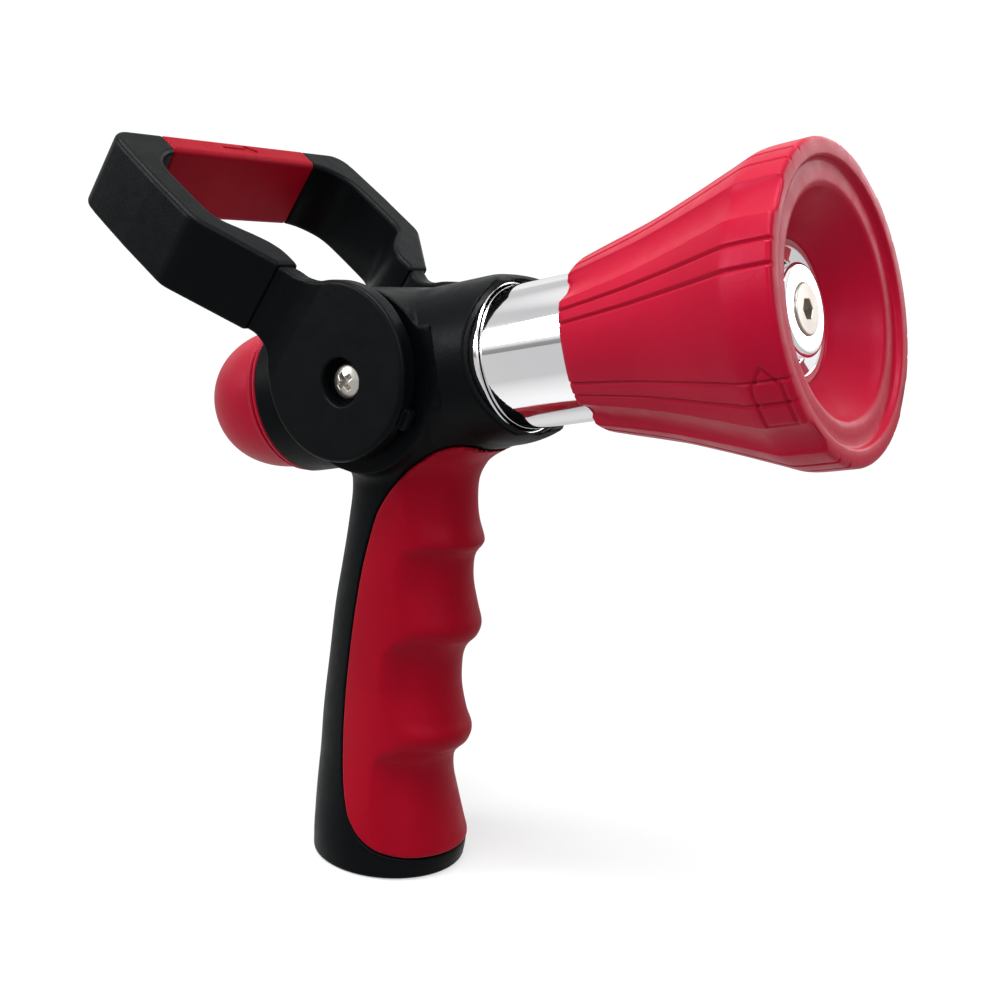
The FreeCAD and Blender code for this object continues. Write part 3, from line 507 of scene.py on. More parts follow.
GRIP_PROUD_BELOW = 0.2
CORE_U = 77.0                     # bar of the loop inside the red grip
CORE_HALF_U = 1.4
CORE_HALF_V = 5.5


def bail_uv(x, z):
    """Along the bail and across it, from barrel x and z."""
    return x * BAIL_COS + z * BAIL_SIN, x * BAIL_SIN - z * BAIL_COS


def bail_to_world(points):
    """Rows of (along, y, across) to world millimetres."""
    u, y, v = points.T
    return to_world(np.stack([u * BAIL_COS + v * BAIL_SIN, y, u * BAIL_SIN - v * BAIL_COS], axis=1))


# The arm seen across the barrel: flat disc, then bent outwards into the loop.
arm_outer = smooth_curve([(17.5, DISC_FACE), (21.5, 23.9), (25.0, 25.4), (SEAM_U, 26.9), (ARM_TIP_U, 33.0)], 6)
arm_inner = smooth_curve([(ARM_TIP_U, 28.0), (SEAM_U, 20.9), (24.0, 19.2), (19.0, DISC_BACK)], 6)
arm_side = OutlineMap(np.concatenate([[(-40.0, DISC_BACK), (-40.0, DISC_FACE)], arm_outer, arm_inner]), 0.15)


def arm_field(x, y, z):
    u, v = bail_uv(x, z)
    from_centre = np.hypot(x - DISC_X, z - DISC_Z)
    sides = np.maximum(NECK_LOW - v, v - NECK_HIGH)
    neck = common_round(sides, np.maximum(-u, u - SEAM_U - NECK_OVERLAP), 0.2)
    plan = union_round(from_centre - DISC_R, neck, NECK_FILLET)
    arm = common_round(plan, arm_side(u, y), DISC_EDGE)
    around = np.degrees(np.arctan2(z - DISC_Z, x - DISC_X))
    ends = (np.abs(around + LUG_ANGLE) - LUG_HALF_ANGLE) * LUG_MM_PER_DEGREE
    lug = np.maximum(from_centre - LUG_R, ends)
    lug = common_round(np.maximum(lug, DISC_BACK - y), y - LUG_FACE, 0.3)
    arm = union_round(arm, lug, 0.4)
    hub = np.maximum(np.hypot(x, z) - HUB_R, np.abs(y - HUB_MIDDLE) - HUB_HALF)
    sink = np.maximum(np.hypot(x, z) - SINK_R, SINK_FLOOR - y)
    return common_round(np.minimum(arm, hub), -sink, 0.35)


def mirrored(field):
    return lambda x, y, z: field(x, -y, z)


arm_left = surface_net("bail_arm_far", arm_field, (-30, 16, -20), (24, 32, 46), 0.4, to_world)
arm_right = surface_net("bail_arm_near", mirrored(arm_field), (-30, -32, -20), (24, -16, 46), 0.4, to_world)

# One half of the loop's outline, along the bail and across the nozzle.
corner = [(LOOP_END_U - CORNER_R + CORNER_R * math.cos(a), CORNER_Y + CORNER_R * math.sin(a))
          for a in CORNER_SWEEP]
outer = [(73.2, 40.85), (69.0, 41.0), (60.0, 41.2), (46.5, 40.85), (45.2, 40.65), (44.0, 40.1),
         (42.9, 39.3), (36.0, 33.9), (SEAM_U + 1.2, 28.4), (SEAM_U, 27.5)]
inner = smooth_curve([(SEAM_U, 20.6), (31.5, 20.55), (34.6, 21.2), (38.0, 23.5), (42.2, 28.3), (44.6, 31.3),
                      (47.4, 32.9), (51.0, 33.3), (60.0, 33.4), (65.8, 33.0), (69.2, 31.2), (72.2, 27.6),
                      (BAR_LOW_U, 23.0)], 5)
half_loop = [(LOOP_END_U, 0.0)] + corner + outer + inner.tolist() + [(BAR_LOW_U, 0.0)]
full_loop = half_loop + [(u, -y) for u, y in reversed(half_loop[1:-1])]
loop_plan = OutlineMap(full_loop, 0.2)


def loop_field(u, y, v):
    loop = common_round(loop_plan(u, y), np.maximum(BAIL_LOW - v, v - BAIL_HIGH), LOOP_EDGE)
    gap = np.maximum(np.abs(y) - GRIP_END - 0.12, 60.0 - u)
    across = np.maximum(np.abs(v - BAIL_MIDDLE) - CORE_HALF_V, np.abs(y) - GRIP_END - 1)
    core = np.maximum(np.abs(u - CORE_U) - CORE_HALF_U, across)
    return np.minimum(common_round(loop, -gap, 0.4), core)


def arrow_field(y, u):
    """A plain arrow in the middle of the bail grip's narrow face."""
    off = np.abs(u - (GRIP_LOW_U + LOOP_END_U) / 2)
    shaft = np.maximum(off - 0.7, np.abs(y + 2.0) - 4.0)
    head = np.maximum(off + (y - 6.0) * 0.55, 2.0 - y)
    return np.minimum(shaft, head)


def grip_bar_field(u, y, v):
    bar_u = np.maximum(GRIP_LOW_U - 0.1 - u, u - LOOP_END_U - GRIP_PROUD)
    bar_v = np.maximum(BAIL_LOW - GRIP_PROUD_BELOW - v, v - BAIL_HIGH - GRIP_PROUD)
    bar = common_round(common_round(bar_u, bar_v, 1.5), np.abs(y) - GRIP_END, 0.7)
    mark = np.maximum(arrow_field(y, u), BAIL_HIGH - 0.25 - v)
    slack = 0.1
    hollow = np.maximum(np.abs(u - CORE_U) - CORE_HALF_U - slack, np.abs(v - BAIL_MIDDLE) - CORE_HALF_V - slack)
    return common_round(np.maximum(bar, -mark), -hollow, 0.2)


loop = surface_net("bail_loop_skin", loop_field, (26, -43, -9), (82, 43, 15), 0.45, bail_to_world)
grip_bar = surface_net("bail_hand_grip", grip_bar_field, (72, -26, -9), (82, 26, 15), 0.3, bail_to_world)


SCREW_HEAD_R = 4.1
SCREW_SEAT = SINK_FLOOR - 0.05
CROWN_R = 7.0                     # ball that shapes the pan head's top
CROWN_Y = 15.0
CROSS_HALF = 0.62                 # cross recess: half width, reach, taper and floor
CROSS_REACH = 2.3
CROSS_TAPER = 0.22
CROSS_TOP = 21.5
CROSS_FLOOR = 19.9
SHANK_R = 1.65
SHANK_MIDDLE = 17.0
SHANK_HALF = 3.2
SCREW_TURN = math.radians(28.0)


def screw_field(x, y, z):
    radius = np.hypot(x, z)
    crown = np.hypot(radius, y - CROWN_Y) - CROWN_R
    head = common_round(common_round(radius - SCREW_HEAD_R, crown, 0.4), SCREW_SEAT - y, 0.1)
    one = np.maximum(np.abs(x) - CROSS_HALF, np.abs(z) - CROSS_REACH)
    two = np.maximum(np.abs(z) - CROSS_HALF, np.abs(x) - CROSS_REACH)
    pit = np.maximum(np.minimum(one, two) + (CROSS_TOP - y) * CROSS_TAPER, CROSS_FLOOR - y)
    shank = np.maximum(radius - SHANK_R, np.abs(y - SHANK_MIDDLE) - SHANK_HALF)
    return np.minimum(common_round(head, -pit, 0.12), shank)


def turned_screw(x, y, z):
    turned_x = x * math.cos(SCREW_TURN) + z * math.sin(SCREW_TURN)
    turned_z = z * math.cos(SCREW_TURN) - x * math.sin(SCREW_TURN)
    return screw_field(turned_x, np.abs(y), turned_z)


screw_far = surface_net("pivot_screw_far", turned_screw, (-4.4, 13.2, -4.4), (4.4, 22.6, 4.4), 0.14,
                        to_world)
screw_near = surface_net("pivot_screw_near", turned_screw, (-4.4, -22.6, -4.4), (4.4, -13.2, 4.4), 0.14,
                         to_world)

# ---------------------------------------------------------------- bell
BELL_BORE = 16.42
BELL_FRONT_X = 112.8
BELL_REAR_X = 57.0
QUARTER = math.pi / 2
FLUTE_FIRST = math.radians(39.0)  # angles run from -Y towards +Z
PANEL_GROOVES = (18.8, 27.3)      # degrees each side of a panel's middle
GROOVE_HALF = 0.48
GROOVE_DEPTH = 0.55
POINTER_ANGLE = math.radians(-31.5)
POINTER_X = 107.8
POINTER_DEPTH = 0.35
REAR_WAVE_END = 66.0              # the rear edge's scallops fade out here
PANEL_PUSH = 0.7                  # how far the rear edge is set forward in panels and in flutes
FLUTE_PUSH = 1.1
bell_outer = table([(56, 18.9), (57.8, 19.4), (59, 19.75), (65, 21.1), (71, 22.5), (77, 24.0), (83, 25.8),
                    (89, 27.7), (95, 29.7), (98, 30.7), (101, 31.75), (103, 32.3), (106, 32.5), (114, 32.5)])


def house_distance(along, across):
    """Distance from the outline of a five-sided pointer, in millimetres."""
    half = 3.1
    corners = [(-half, -6.3), (half, -6.3), (half, 2.6), (0.0, 6.6), (-half, 2.6)]
    nearest = np.full(along.shape, 1e9)
    for (a0, b0), (a1, b1) in zip(corners, corners[1:] + corners[:1]):
        da, db = a1 - a0, b1 - b0
        share = np.clip(((along - a0) * da + (across - b0) * db) / (da * da + db * db), 0, 1)
        nearest = np.minimum(nearest, np.hypot(along - a0 - share * da, across - b0 - share * db))
    return nearest


def bell_shape(along, radius, angle):
    """Four flutes, two grooves each side of each panel, the pointer and the scalloped rear edge."""
    from_flute = np.mod(angle - FLUTE_FIRST + QUARTER / 2, QUARTER) - QUARTER / 2
    from_panel = np.mod(angle - FLUTE_FIRST, QUARTER) - QUARTER / 2
    skin = smoothstep(1.2, 0.0, np.abs(radius - bell_outer(along))) * (along > BELL_REAR_X)
    half_width = np.interp(along, [58, 101, 113], [3.7, 4.4, 4.6])
    arc = radius * from_flute
    depth = np.interp(along, [58, 100, 104], [1.35, 1.3, 1.3])
    bowl = np.clip(1 - (arc / half_width) ** 2, 0, 1)
    sink = depth * bowl ** 0.75
    for middle in PANEL_GROOVES:
        gap = radius * (np.abs(from_panel) - math.radians(middle))
        sink = sink + GROOVE_DEPTH * smoothstep(GROOVE_HALF, GROOVE_HALF * 0.3, np.abs(gap)) * (bowl <= 0)
    turn = np.mod(angle - POINTER_ANGLE + math.pi, 2 * math.pi) - math.pi
    line = house_distance(along - POINTER_X, radius * turn)
    sink = sink + POINTER_DEPTH * smoothstep(0.5, 0.15, line)
    edge = smoothstep(REAR_WAVE_END, BELL_REAR_X + 1, along) * (radius > BELL_BORE + 0.5)
    share = np.clip(np.abs(from_panel) / math.radians(35.0), 0, 1)
    push = edge * (PANEL_PUSH * (1 - smoothstep(0.0, 1.0, share)) + FLUTE_PUSH * smoothstep(0.5, 1.0, bowl))
    return along + push, radius - sink * skin


def bell_profile():
    """Closed outline of the bell's wall: outside, front rim, mouth, bore."""
    outside = [(x, float(bell_outer(x))) for x in np.concatenate([
        np.arange(58.6, 100.0, 0.7), np.arange(100.0, 112.2, 0.26)])]
    lead = rounded([(57.6, BELL_BORE), (57.6, 19.2), (59.2, 19.8)], [0, 0.7, 0])[:-1].tolist()
    front = [(112.3, 32.4), (112.55, 32.2), (112.72, 31.92), (BELL_FRONT_X, 31.6), (BELL_FRONT_X, 30.4),
             (BELL_FRONT_X, 29.2), (112.7, 28.85), (112.45, 28.65), (111.8, 28.5), (111.5, 28.25),
             (111.4, 27.9), (111.4, 26.2), (111.4, 24.6), (111.3, 23.8), (111.0, 23.2)]
    inside = smooth_curve([(111.0, 23.2), (109.4, 22.0), (107.6, 20.3), (105.2, 17.9), (103.2, 15.9),
                           (102.2, 14.75)], 6)[1:].tolist()
    nose_r = 14.75
    bore = [(99.5, nose_r), (97.0, nose_r), (94.05, nose_r), (94.05, BELL_BORE), (85, BELL_BORE),
            (72, BELL_BORE)]
    return lead + outside + front + inside + bore


bell = lathe("bell", bell_profile(), 800, to_world, bell_shape)

# ---------------------------------------------------------------- chrome sleeve, collar, cap, stem head
SMOOTH_TURN = 256
TUBE_R = 16.4
COLLAR_BORE = 16.75
COLLAR_R = CASTING_R - 0.03
COLLAR_FRONT = 35.3
sleeve = lathe("spray_tube", refine(rounded([
    (17.5, 14.6), (17.5, TUBE_R), (94.0, TUBE_R), (94.0, 14.7), (102.0, 14.7), (102.0, 12.9), (100.0, 10.6),
    (97.5, 10.6), (88.0, 14.6)], [0.2, 0.3, 0.0, 0.0, 0.35, 0.3, 0.8, 0.8, 0.8]), 3.0), SMOOTH_TURN, to_world)
collar = lathe("collar_trim", refine(rounded([
    (28.0, COLLAR_BORE), (28.0, COLLAR_R), (COLLAR_FRONT, COLLAR_R), (COLLAR_FRONT, COLLAR_BORE)],
    [0, 0, 0.35, 0.25]), 1.5), SMOOTH_TURN, to_world)

CAP_SHOULDER_X = -34.8
CAP_LENGTH = 23.0
CAP_R = 17.9
CAP_SQUARENESS = 2.45             # 2 would be an ellipse
DOME_STEPS = 28
dome = []
for step in range(DOME_STEPS):
    share = math.sin(math.pi / 2 * step / DOME_STEPS)
    dome.append((CAP_SHOULDER_X - CAP_LENGTH * share,
                 CAP_R * (1 - share ** CAP_SQUARENESS) ** (1 / CAP_SQUARENESS)))
cap = solid_lathe("cap", [(-31.45, 0.0), (-31.45, 12.0), (-31.45, 19.2), (-31.6, 19.42), (-31.95, 19.5),
                          (-32.3, 19.42), (-32.5, 19.1), (-32.62, 18.6), (-32.85, 18.25), (-33.15, 18.3),
                          (-33.3, 18.7), (-33.5, 19.1), (-33.8, 19.1), (-34.1, 18.75), (-34.45, 18.25)]
                  + dome + [(CAP_SHOULDER_X - CAP_LENGTH, 0.0)], SMOOTH_TURN, to_world)

STEM_FACE_X = 104.5
HEX_TOP_X = 104.9                 # the hex screw stands just proud of the stem's face
HEX_HEAD_R = 5.3
HEX_HALF = 2.0
HEX_FLOOR_X = 101.6
COUNTERSINK = 0.88                # radius lost per mm of depth
stem = lathe("stem_tip", refine(rounded([
    (95.0, 3.0), (95.0, 4.6), (97.0, 6.4), (101.6, 9.6), (103.9, 9.6), (STEM_FACE_X, 9.0), (STEM_FACE_X, 5.45),
    (101.9, 3.1)],
    [0.2, 0.5, 0.8, 0.6, 0.3, 0.3, 0.12, 0.1]), 1.0), SMOOTH_TURN, to_world)


def hex_screw_field(x, y, z):
    radius = np.hypot(y, z)
    top = common_round(radius - HEX_HEAD_R + 0.02, x - HEX_TOP_X, 0.3)
    cone = np.maximum(radius - HEX_HEAD_R + (STEM_FACE_X - 0.1 - x) * COUNTERSINK, -1)
    head = common_round(top, cone, 0.05)
    shank = np.maximum(radius - 2.9, x - 104.0)
    turn = np.mod(np.arctan2(z, y), math.pi / 3) - math.pi / 6
    pit = np.maximum(radius * np.cos(turn) - HEX_HALF, HEX_FLOOR_X + 0.25 * radius - x)
    solid = np.maximum(np.minimum(head, shank), 96.0 - x)
    return common_round(solid, -pit, 0.12)


hex_screw = surface_net("stem_hex_screw", hex_screw_field, (95.5, -5.8, -5.8), (105.3, 5.8, 5.8), 0.16,
                        to_world)

# ---------------------------------------------------------------- hose coupling with its thread
COUPLING_R = 14.5
NECK_R = 13.4
FLANGE_TOP = 13.0
WATERWAY_R = 9.6
WASHER_SEAT_R = 12.6
THREAD_R = 12.3
THREAD_LENGTH = 10.0
THREAD_PITCH = 2.209              # 11.5 threads to the inch
THREAD_DEPTH = 1.0


def upright(points):
    """Turned pieces about the grip's axis: along is world Z."""
    along, y, z = points.T
    return np.stack([z, y, along], axis=1)


def thread_shape(along, radius, angle):
    """Helical groove in the bore, fading out at both ends."""
    wall = (np.abs(radius - THREAD_R) < 0.05) * (along < THREAD_LENGTH + 0.01)
    wave = np.abs(np.mod(along / THREAD_PITCH + angle / (2 * math.pi), 1.0) * 2 - 1)
    fade = smoothstep(0.0, 1.6, along) * smoothstep(THREAD_LENGTH, 9.2, along)
    return along, radius + wall * fade * THREAD_DEPTH * smoothstep(0.15, 0.85, wave)


coupling_outside = rounded([(0.0, COUPLING_R), (FLANGE_TOP, COUPLING_R), (FLANGE_TOP, NECK_R), (18.0, NECK_R),
                            (18.0, 10.7), (12.7, WATERWAY_R)], [0.3, 0.1, 0.1, 0.1, 0.1, 0.1])
coupling_inside = [(12.7, WATERWAY_R), (11.8, WATERWAY_R), (11.8, WASHER_SEAT_R), (10.1, WASHER_SEAT_R),
                   (THREAD_LENGTH, THREAD_R)]
coupling_bore = [(z, THREAD_R) for z in np.arange(9.9, 0.6, -0.15)]
coupling_mouth = [(0.45, 12.4), (0.2, 12.6), (0.0, 12.9)]
coupling_profile = np.array(coupling_outside.tolist() + coupling_inside + coupling_bore + coupling_mouth)
coupling = lathe("hose_coupling_threads", coupling_profile[::-1], 240, upright, thread_shape)

# Each piece with its body, its material slot and the CAD nodes that it replaces.
PIECES = [
    (cover, "handle", "black_cover", ("body_cover", "base_ring")),
    (insert, "handle", "red_grip", ("grip_insert",)),
    (collar, "handle", "chrome", ("collar_ring",)),
    (cap, "handle", "red_cap", ("rear_cap",)),
    (stem, "handle", "polished_head", ("stem_head",)),
    (hex_screw, "handle", "screw_steel", ("stem_screw",)),
    (coupling, "handle", "brass", ("hose_coupling",)),
    (arm_left, "bail", "black_bail", ("bail_arm_left",)),
    (arm_right, "bail", "black_bail", ("bail_arm_right",)),
    (loop, "bail", "black_bail", ("bail_loop",)),
    (grip_bar, "bail", "red_grip", ("bail_grip",)),
    (screw_far, "bail", "screw_steel", ("pivot_screws",)),
    (screw_near, "bail", "screw_steel", ("pivot_screws",)),
    (sleeve, "nozzle", "chrome_tube", ("spray_sleeve",)),
    (bell, "nozzle", "red_bell", ("bumper",)),
]

# ---------------------------------------------------------------- materials
WHITE = (1.0, 1.0, 1.0)
PINK = (1.0, 0.36, 0.58)          # tint of the highlights on the red pieces


def sheet_of(name):
    """A new material, with its node tree, its shader and the piece's own coordinates."""
    material = bpy.data.materials.new(name)
    material.use_nodes = True
    nodes = material.node_tree.nodes
    shader = nodes["Principled BSDF"]
    place = nodes.new("ShaderNodeTexCoord").outputs["Object"]
    return material, material.node_tree, shader, place


def noise(tree, place, scale, detail=2.0, rough=0.5, stretch=None):
    """Noise on object coordinates; scale is in features per metre."""
    source = place
    if stretch is not None:
        mapping = tree.nodes.new("ShaderNodeMapping")
        mapping.inputs["Scale"].default_value = stretch
        tree.links.new(place, mapping.inputs["Vector"])
        source = mapping.outputs["Vector"]
    node = tree.nodes.new("ShaderNodeTexNoise")
    node.inputs["Scale"].default_value = scale
    node.inputs["Detail"].default_value = detail
    node.inputs["Roughness"].default_value = rough
    tree.links.new(source, node.inputs["Vector"])
    return node.outputs["Fac"]


def spread(tree, value, low, high, from_low=0.3, from_high=0.7):
    """Maps the range from_low to from_high onto low to high; noise lies mostly within 0.3 to 0.7."""
    node = tree.nodes.new("ShaderNodeMapRange")
    node.inputs["From Min"].default_value = from_low
    node.inputs["From Max"].default_value = from_high
    node.inputs["To Min"].default_value = low
    node.inputs["To Max"].default_value = high
    tree.links.new(value, node.inputs["Value"])
    return node.outputs["Result"]


def tint(tree, factor, first, second):
    """Mixes two colours."""
    node = tree.nodes.new("ShaderNodeMix")
    node.data_type = "RGBA"
    node.inputs["A"].default_value = (*first, 1.0)
    node.inputs["B"].default_value = (*second, 1.0)
    tree.links.new(factor, node.inputs["Factor"])
    return node.outputs["Result"]


def bump(tree, height, distance, strength=1.0, below=None):
    """Bumps of a height in metres, laid over the bumps below."""
    node = tree.nodes.new("ShaderNodeBump")
    node.inputs["Strength"].default_value = strength
    node.inputs["Distance"].default_value = distance
    tree.links.new(height, node.inputs["Height"])
    if below is not None:
        tree.links.new(below, node.inputs["Normal"])
    return node.outputs["Normal"]


def moulded(name, colour, darker, roughness, grain_scale, grain, specular=0.5, tint_specular=WHITE):
    """Moulded plastic or rubber: colour drift, fine grain, uneven gloss."""
    material, tree, shader, place = sheet_of(name)
    drift = spread(tree, noise(tree, place, 35.0, 3.0), 0.0, 1.0)
    tree.links.new(tint(tree, drift, colour, darker), shader.inputs["Base Color"])
    gloss = spread(tree, noise(tree, place, 240.0, 4.0), roughness - 0.05, roughness + 0.06)
    tree.links.new(gloss, shader.inputs["Roughness"])
    coarse = bump(tree, noise(tree, place, grain_scale * 0.22, 2.0), grain * 2.2, 0.5)
    fine = bump(tree, noise(tree, place, grain_scale, 3.0, 0.6), grain, 1.0, coarse)
    tree.links.new(fine, shader.inputs["Normal"])
    shader.inputs["Specular IOR Level"].default_value = specular
    shader.inputs["Specular Tint"].default_value = (*tint_specular, 1.0)
    return material


def metal(name, colour, darker, roughness, grain_scale, grain, stretch=None, smudge=0.03):
    """Bare or plated metal: fine surface lines or grain, faint smudges."""
    material, tree, shader, place = sheet_of(name)
    drift = spread(tree, noise(tree, place, 60.0, 3.0), 0.0, 1.0)
    tree.links.new(tint(tree, drift, colour, darker), shader.inputs["Base Color"])
    gloss = spread(tree, noise(tree, place, 90.0, 4.0), roughness, roughness + smudge)
    tree.links.new(gloss, shader.inputs["Roughness"])
    lines = bump(tree, noise(tree, place, grain_scale, 2.0, 0.5, stretch), grain)
    tree.links.new(lines, shader.inputs["Normal"])
    shader.inputs["Metallic"].default_value = 1.0
    return material


LOOKS = {
    "black_cover": moulded("black_cover_look", (0.0014, 0.0020, 0.0024), (0.0009, 0.0013, 0.0017),
                           0.38, 2600.0, 0.00004, specular=0.05),
    "black_bail": moulded("black_bail_look", (0.0018, 0.0026, 0.0029), (0.0012, 0.0018, 0.0021),
                          0.36, 2400.0, 0.000035, specular=0.06),
    "red_grip": moulded("red_grip_look", (0.27, 0.0014, 0.0100), (0.22, 0.0010, 0.0075),
                        0.48, 2200.0, 0.00004, specular=0.13, tint_specular=PINK),
    "red_cap": moulded("red_cap_look", (0.40, 0.0030, 0.022), (0.35, 0.0024, 0.018),
                       0.38, 2200.0, 0.00003, specular=0.22, tint_specular=PINK),
    "red_bell": moulded("red_bell_look", (0.39, 0.0030, 0.023), (0.34, 0.0024, 0.019),
                        0.36, 2000.0, 0.00003, specular=0.20, tint_specular=PINK),
    "black_rubber": moulded("black_rubber_look", (0.014, 0.014, 0.014), (0.010, 0.010, 0.010),
                            0.62, 1500.0, 0.00004),
    "white_polymer": moulded("white_polymer_look", (0.80, 0.79, 0.76), (0.74, 0.73, 0.69),
                             0.42, 1200.0, 0.00001),
    "chrome_tube": metal("chrome_tube_look", (0.93, 0.93, 0.94), (0.89, 0.89, 0.91),
                         0.035, 500.0, 0.0000012, (1.0, 6.0, 1.0), 0.03),
    "chrome": metal("chrome_look", (0.92, 0.92, 0.93), (0.88, 0.88, 0.90), 0.05, 600.0, 0.0000015),
    "polished_head": metal("polished_head_look", (0.93, 0.93, 0.93), (0.90, 0.90, 0.91),
                           0.05, 600.0, 0.0000015),
    "screw_steel": metal("screw_steel_look", (0.60, 0.57, 0.53), (0.52, 0.49, 0.45),
                         0.30, 2500.0, 0.000006, None, 0.08),
    "steel": metal("steel_look", (0.62, 0.61, 0.59), (0.54, 0.53, 0.51), 0.30, 2500.0, 0.000006, None, 0.08),
    "cast_alloy": metal("cast_alloy_look", (0.55, 0.56, 0.58), (0.44, 0.45, 0.47),
                        0.46, 1300.0, 0.00004, None, 0.1),
    "spindle_alloy": metal("spindle_alloy_look", (0.60, 0.61, 0.63), (0.52, 0.53, 0.55),
                           0.32, 900.0, 0.00001, (8.0, 1.0, 1.0), 0.08),
    "brass": metal("brass_look", (0.72, 0.50, 0.20), (0.60, 0.39, 0.14),
                   0.28, 1600.0, 0.00001, (1.0, 1.0, 7.0), 0.1),
    "ball_brass": metal("ball_brass_look", (0.80, 0.78, 0.74), (0.70, 0.67, 0.62),
                        0.16, 900.0, 0.000004, None, 0.05),
}
for piece, body, slot, nodes in PIECES:
    piece.data.materials.append(LOOKS[slot])
    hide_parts(*nodes)
    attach(piece, body)

# CAD nodes that are kept as they are, with a look of their own.
NODE_LOOKS = {
    "valve_body": "cast_alloy", "rear_plug": "cast_alloy", "outlet_spindle": "spindle_alloy",
    "stem_post": "steel", "inlet_screen": "steel", "valve_ball": "ball_brass", "ball_stems": "brass",
    "front_seat": "white_polymer", "rear_seat": "white_polymer", "inlet_seat": "white_polymer",
    "follower_ring": "white_polymer", "thrust_washers": "white_polymer", "stem_seals": "black_rubber",
    "spindle_seals": "black_rubber", "rear_plug_seal": "black_rubber", "hose_washer": "black_rubber",
}
for node, slot in NODE_LOOKS.items():
    mesh = frame["nodes"][node].data
    mesh.materials.clear()
    mesh.materials.append(LOOKS[slot])

# ---------------------------------------------------------------- floor, studio light, camera
# The floor takes light and shadow close to the nozzle, and glows evenly further out, so that it has
# no visible edge.
FLOOR_HALF = 6.0
FLOOR_DROP = 0.0002
GLOW_START = 0.03                 # metres from the middle
GLOW_END = 0.16
GLOW_LEAST = 0.55
GLOW_SEEN = 1.05                  # strength of the glow towards the camera, and towards the nozzle
GLOW_CAST = 0.62
floor_mesh = bpy.data.meshes.new("floor")
floor_corners = [(-FLOOR_HALF, -FLOOR_HALF, 0.0), (FLOOR_HALF, -FLOOR_HALF, 0.0),
                 (FLOOR_HALF, FLOOR_HALF, 0.0), (-FLOOR_HALF, FLOOR_HALF, 0.0)]
floor_mesh.from_pydata(floor_corners, [], [(0, 1, 2, 3)])
floor = link("floor", floor_mesh)
floor.location.z = -FLOOR_DROP
floor_look = bpy.data.materials.new("floor_look")
floor_look.use_nodes = True
floor_shader = floor_look.node_tree.nodes["Principled BSDF"]
floor_shader.inputs["Base Color"].default_value = (0.93, 0.93, 0.93, 1.0)
floor_shader.inputs["Roughness"].default_value = 0.9
floor_shader.inputs["Specular IOR Level"].default_value = 0.1
floor_tree = floor_look.node_tree
distance = floor_tree.nodes.new("ShaderNodeVectorMath")
distance.operation = "LENGTH"
floor_tree.links.new(floor_tree.nodes.new("ShaderNodeTexCoord").outputs["Object"], distance.inputs[0])
bright = floor_tree.nodes.new("ShaderNodeEmission")
floor_rays = floor_tree.nodes.new("ShaderNodeLightPath").outputs["Is Camera Ray"]
floor_tree.links.new(spread(floor_tree, floor_rays, GLOW_CAST, GLOW_SEEN, 0.0, 1.0), bright.inputs["Strength"])
blend = floor_tree.nodes.new("ShaderNodeMixShader")
glow = spread(floor_tree, distance.outputs["Value"], GLOW_LEAST, 1.0, GLOW_START, GLOW_END)
floor_tree.links.new(glow, blend.inputs["Fac"])
floor_tree.links.new(floor_shader.outputs["BSDF"], blend.inputs[1])
floor_tree.links.new(bright.outputs["Emission"], blend.inputs[2])
floor_tree.links.new(blend.outputs["Shader"], floor_tree.nodes["Material Output"].inputs["Surface"])
floor_mesh.materials.append(floor_look)

# The studio: bright walls and ceiling with a softer band between them, dark below the horizon.
# Polished pieces reflect the walls, matte ones get a dim even light, and the camera sees plain white.
WALL_STRENGTH = 0.85
DIM_STRENGTH = 0.16
PLAIN_STRENGTH = 1.05
STUDIO_BANDS = [(0.0, 0.30), (0.48, 0.30), (0.525, 0.36), (0.56, 1.0), (0.72, 1.08), (0.76, 0.74),
                (0.80, 0.72), (0.84, 1.1), (1.0, 1.2)]
world = bpy.data.worlds.new("studio")
bpy.context.scene.world = world
world.use_nodes = True
tree = world.node_tree
tree.nodes.clear()
direction = tree.nodes.new("ShaderNodeTexCoord").outputs["Generated"]
parts = tree.nodes.new("ShaderNodeSeparateXYZ")
tree.links.new(direction, parts.inputs["Vector"])
height = tree.nodes.new("ShaderNodeMapRange")
height.inputs["From Min"].default_value = -1.0
tree.links.new(parts.outputs["Z"], height.inputs["Value"])
bands = tree.nodes.new("ShaderNodeValToRGB")
bands.color_ramp.interpolation = "EASE"
while len(bands.color_ramp.elements) < len(STUDIO_BANDS):
    bands.color_ramp.elements.new(0.5)
for element, (position, level) in zip(bands.color_ramp.elements, STUDIO_BANDS):
    element.position = position
    element.color = (level, level, level, 1.0)
tree.links.new(height.outputs["Result"], bands.inputs["Fac"])
wall = tree.nodes.new("ShaderNodeBackground")
tree.links.new(bands.outputs["Color"], wall.inputs["Color"])
wall.inputs["Strength"].default_value = WALL_STRENGTH
dim = tree.nodes.new("ShaderNodeBackground")
dim.inputs["Strength"].default_value = DIM_STRENGTH
plain = tree.nodes.new("ShaderNodeBackground")
plain.inputs["Color"].default_value = (1.0, 1.0, 1.0, 1.0)
plain.inputs["Strength"].default_value = PLAIN_STRENGTH
rays = tree.nodes.new("ShaderNodeLightPath")
soften = tree.nodes.new("ShaderNodeMixShader")
tree.links.new(rays.outputs["Is Diffuse Ray"], soften.inputs["Fac"])
tree.links.new(wall.outputs["Background"], soften.inputs[1])
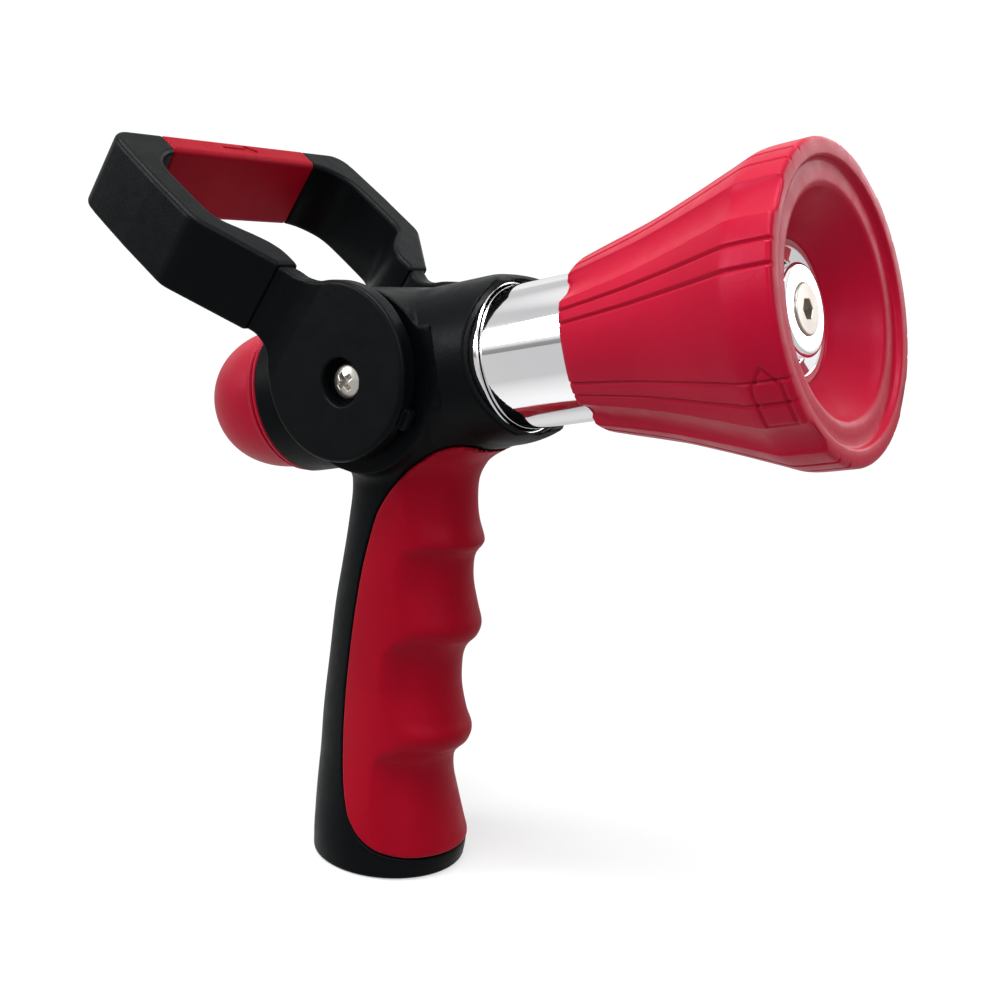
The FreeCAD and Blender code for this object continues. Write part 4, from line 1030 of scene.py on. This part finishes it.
tree.links.new(dim.outputs["Background"], soften.inputs[2])
choose = tree.nodes.new("ShaderNodeMixShader")
tree.links.new(rays.outputs["Is Camera Ray"], choose.inputs["Fac"])
tree.links.new(soften.outputs["Shader"], choose.inputs[1])
tree.links.new(plain.outputs["Background"], choose.inputs[2])
tree.links.new(choose.outputs["Shader"], tree.nodes.new("ShaderNodeOutputWorld").inputs["Surface"])


def soft_light(name, position, target, width, height, power):
    lamp = bpy.data.lights.new(name, "AREA")
    lamp.shape = "RECTANGLE"
    lamp.size = width
    lamp.size_y = height
    lamp.energy = power
    holder = bpy.data.objects.new(name, lamp)
    bpy.context.scene.collection.objects.link(holder)
    holder.location = position
    holder.rotation_euler = (Vector(target) - Vector(position)).to_track_quat("-Z", "Y").to_euler()


CENTRE = (0.02, 0.0, 0.10)
soft_light("top_light", (0.00, -0.25, 0.95), CENTRE, 0.8, 0.5, 13.0)
soft_light("left_light", (-0.70, -0.80, 0.55), CENTRE, 0.4, 0.5, 7.0)
soft_light("right_light", (0.85, -0.60, 0.75), CENTRE, 0.35, 0.35, 4.0)
soft_light("back_light", (0.2, 0.9, 0.50), CENTRE, 0.8, 0.5, 3.0)

AZIMUTH = math.radians(35.08)
ELEVATION = math.radians(11.13)
ROLL = math.radians(4.8)
back = Vector((math.sin(AZIMUTH) * math.cos(ELEVATION), -math.cos(AZIMUTH) * math.cos(ELEVATION),
               math.sin(ELEVATION)))
level = Vector((math.cos(AZIMUTH), math.sin(AZIMUTH), 0.0))
right = level * math.cos(ROLL) + back.cross(level) * math.sin(ROLL)
up = back.cross(right)
lens = bpy.data.cameras.new("camera")
lens.lens = 52.6
lens.sensor_width = 36.0
lens.clip_start = 0.01
camera = bpy.data.objects.new("camera", lens)
bpy.context.scene.collection.objects.link(camera)
facing = Matrix((right, up, back)).transposed().to_4x4()
camera.matrix_world = Matrix.Translation((0.2164, -0.2721, 0.1601)) @ facing
bpy.context.scene.camera = camera
bpy.context.scene.view_settings.view_transform = "Standard"
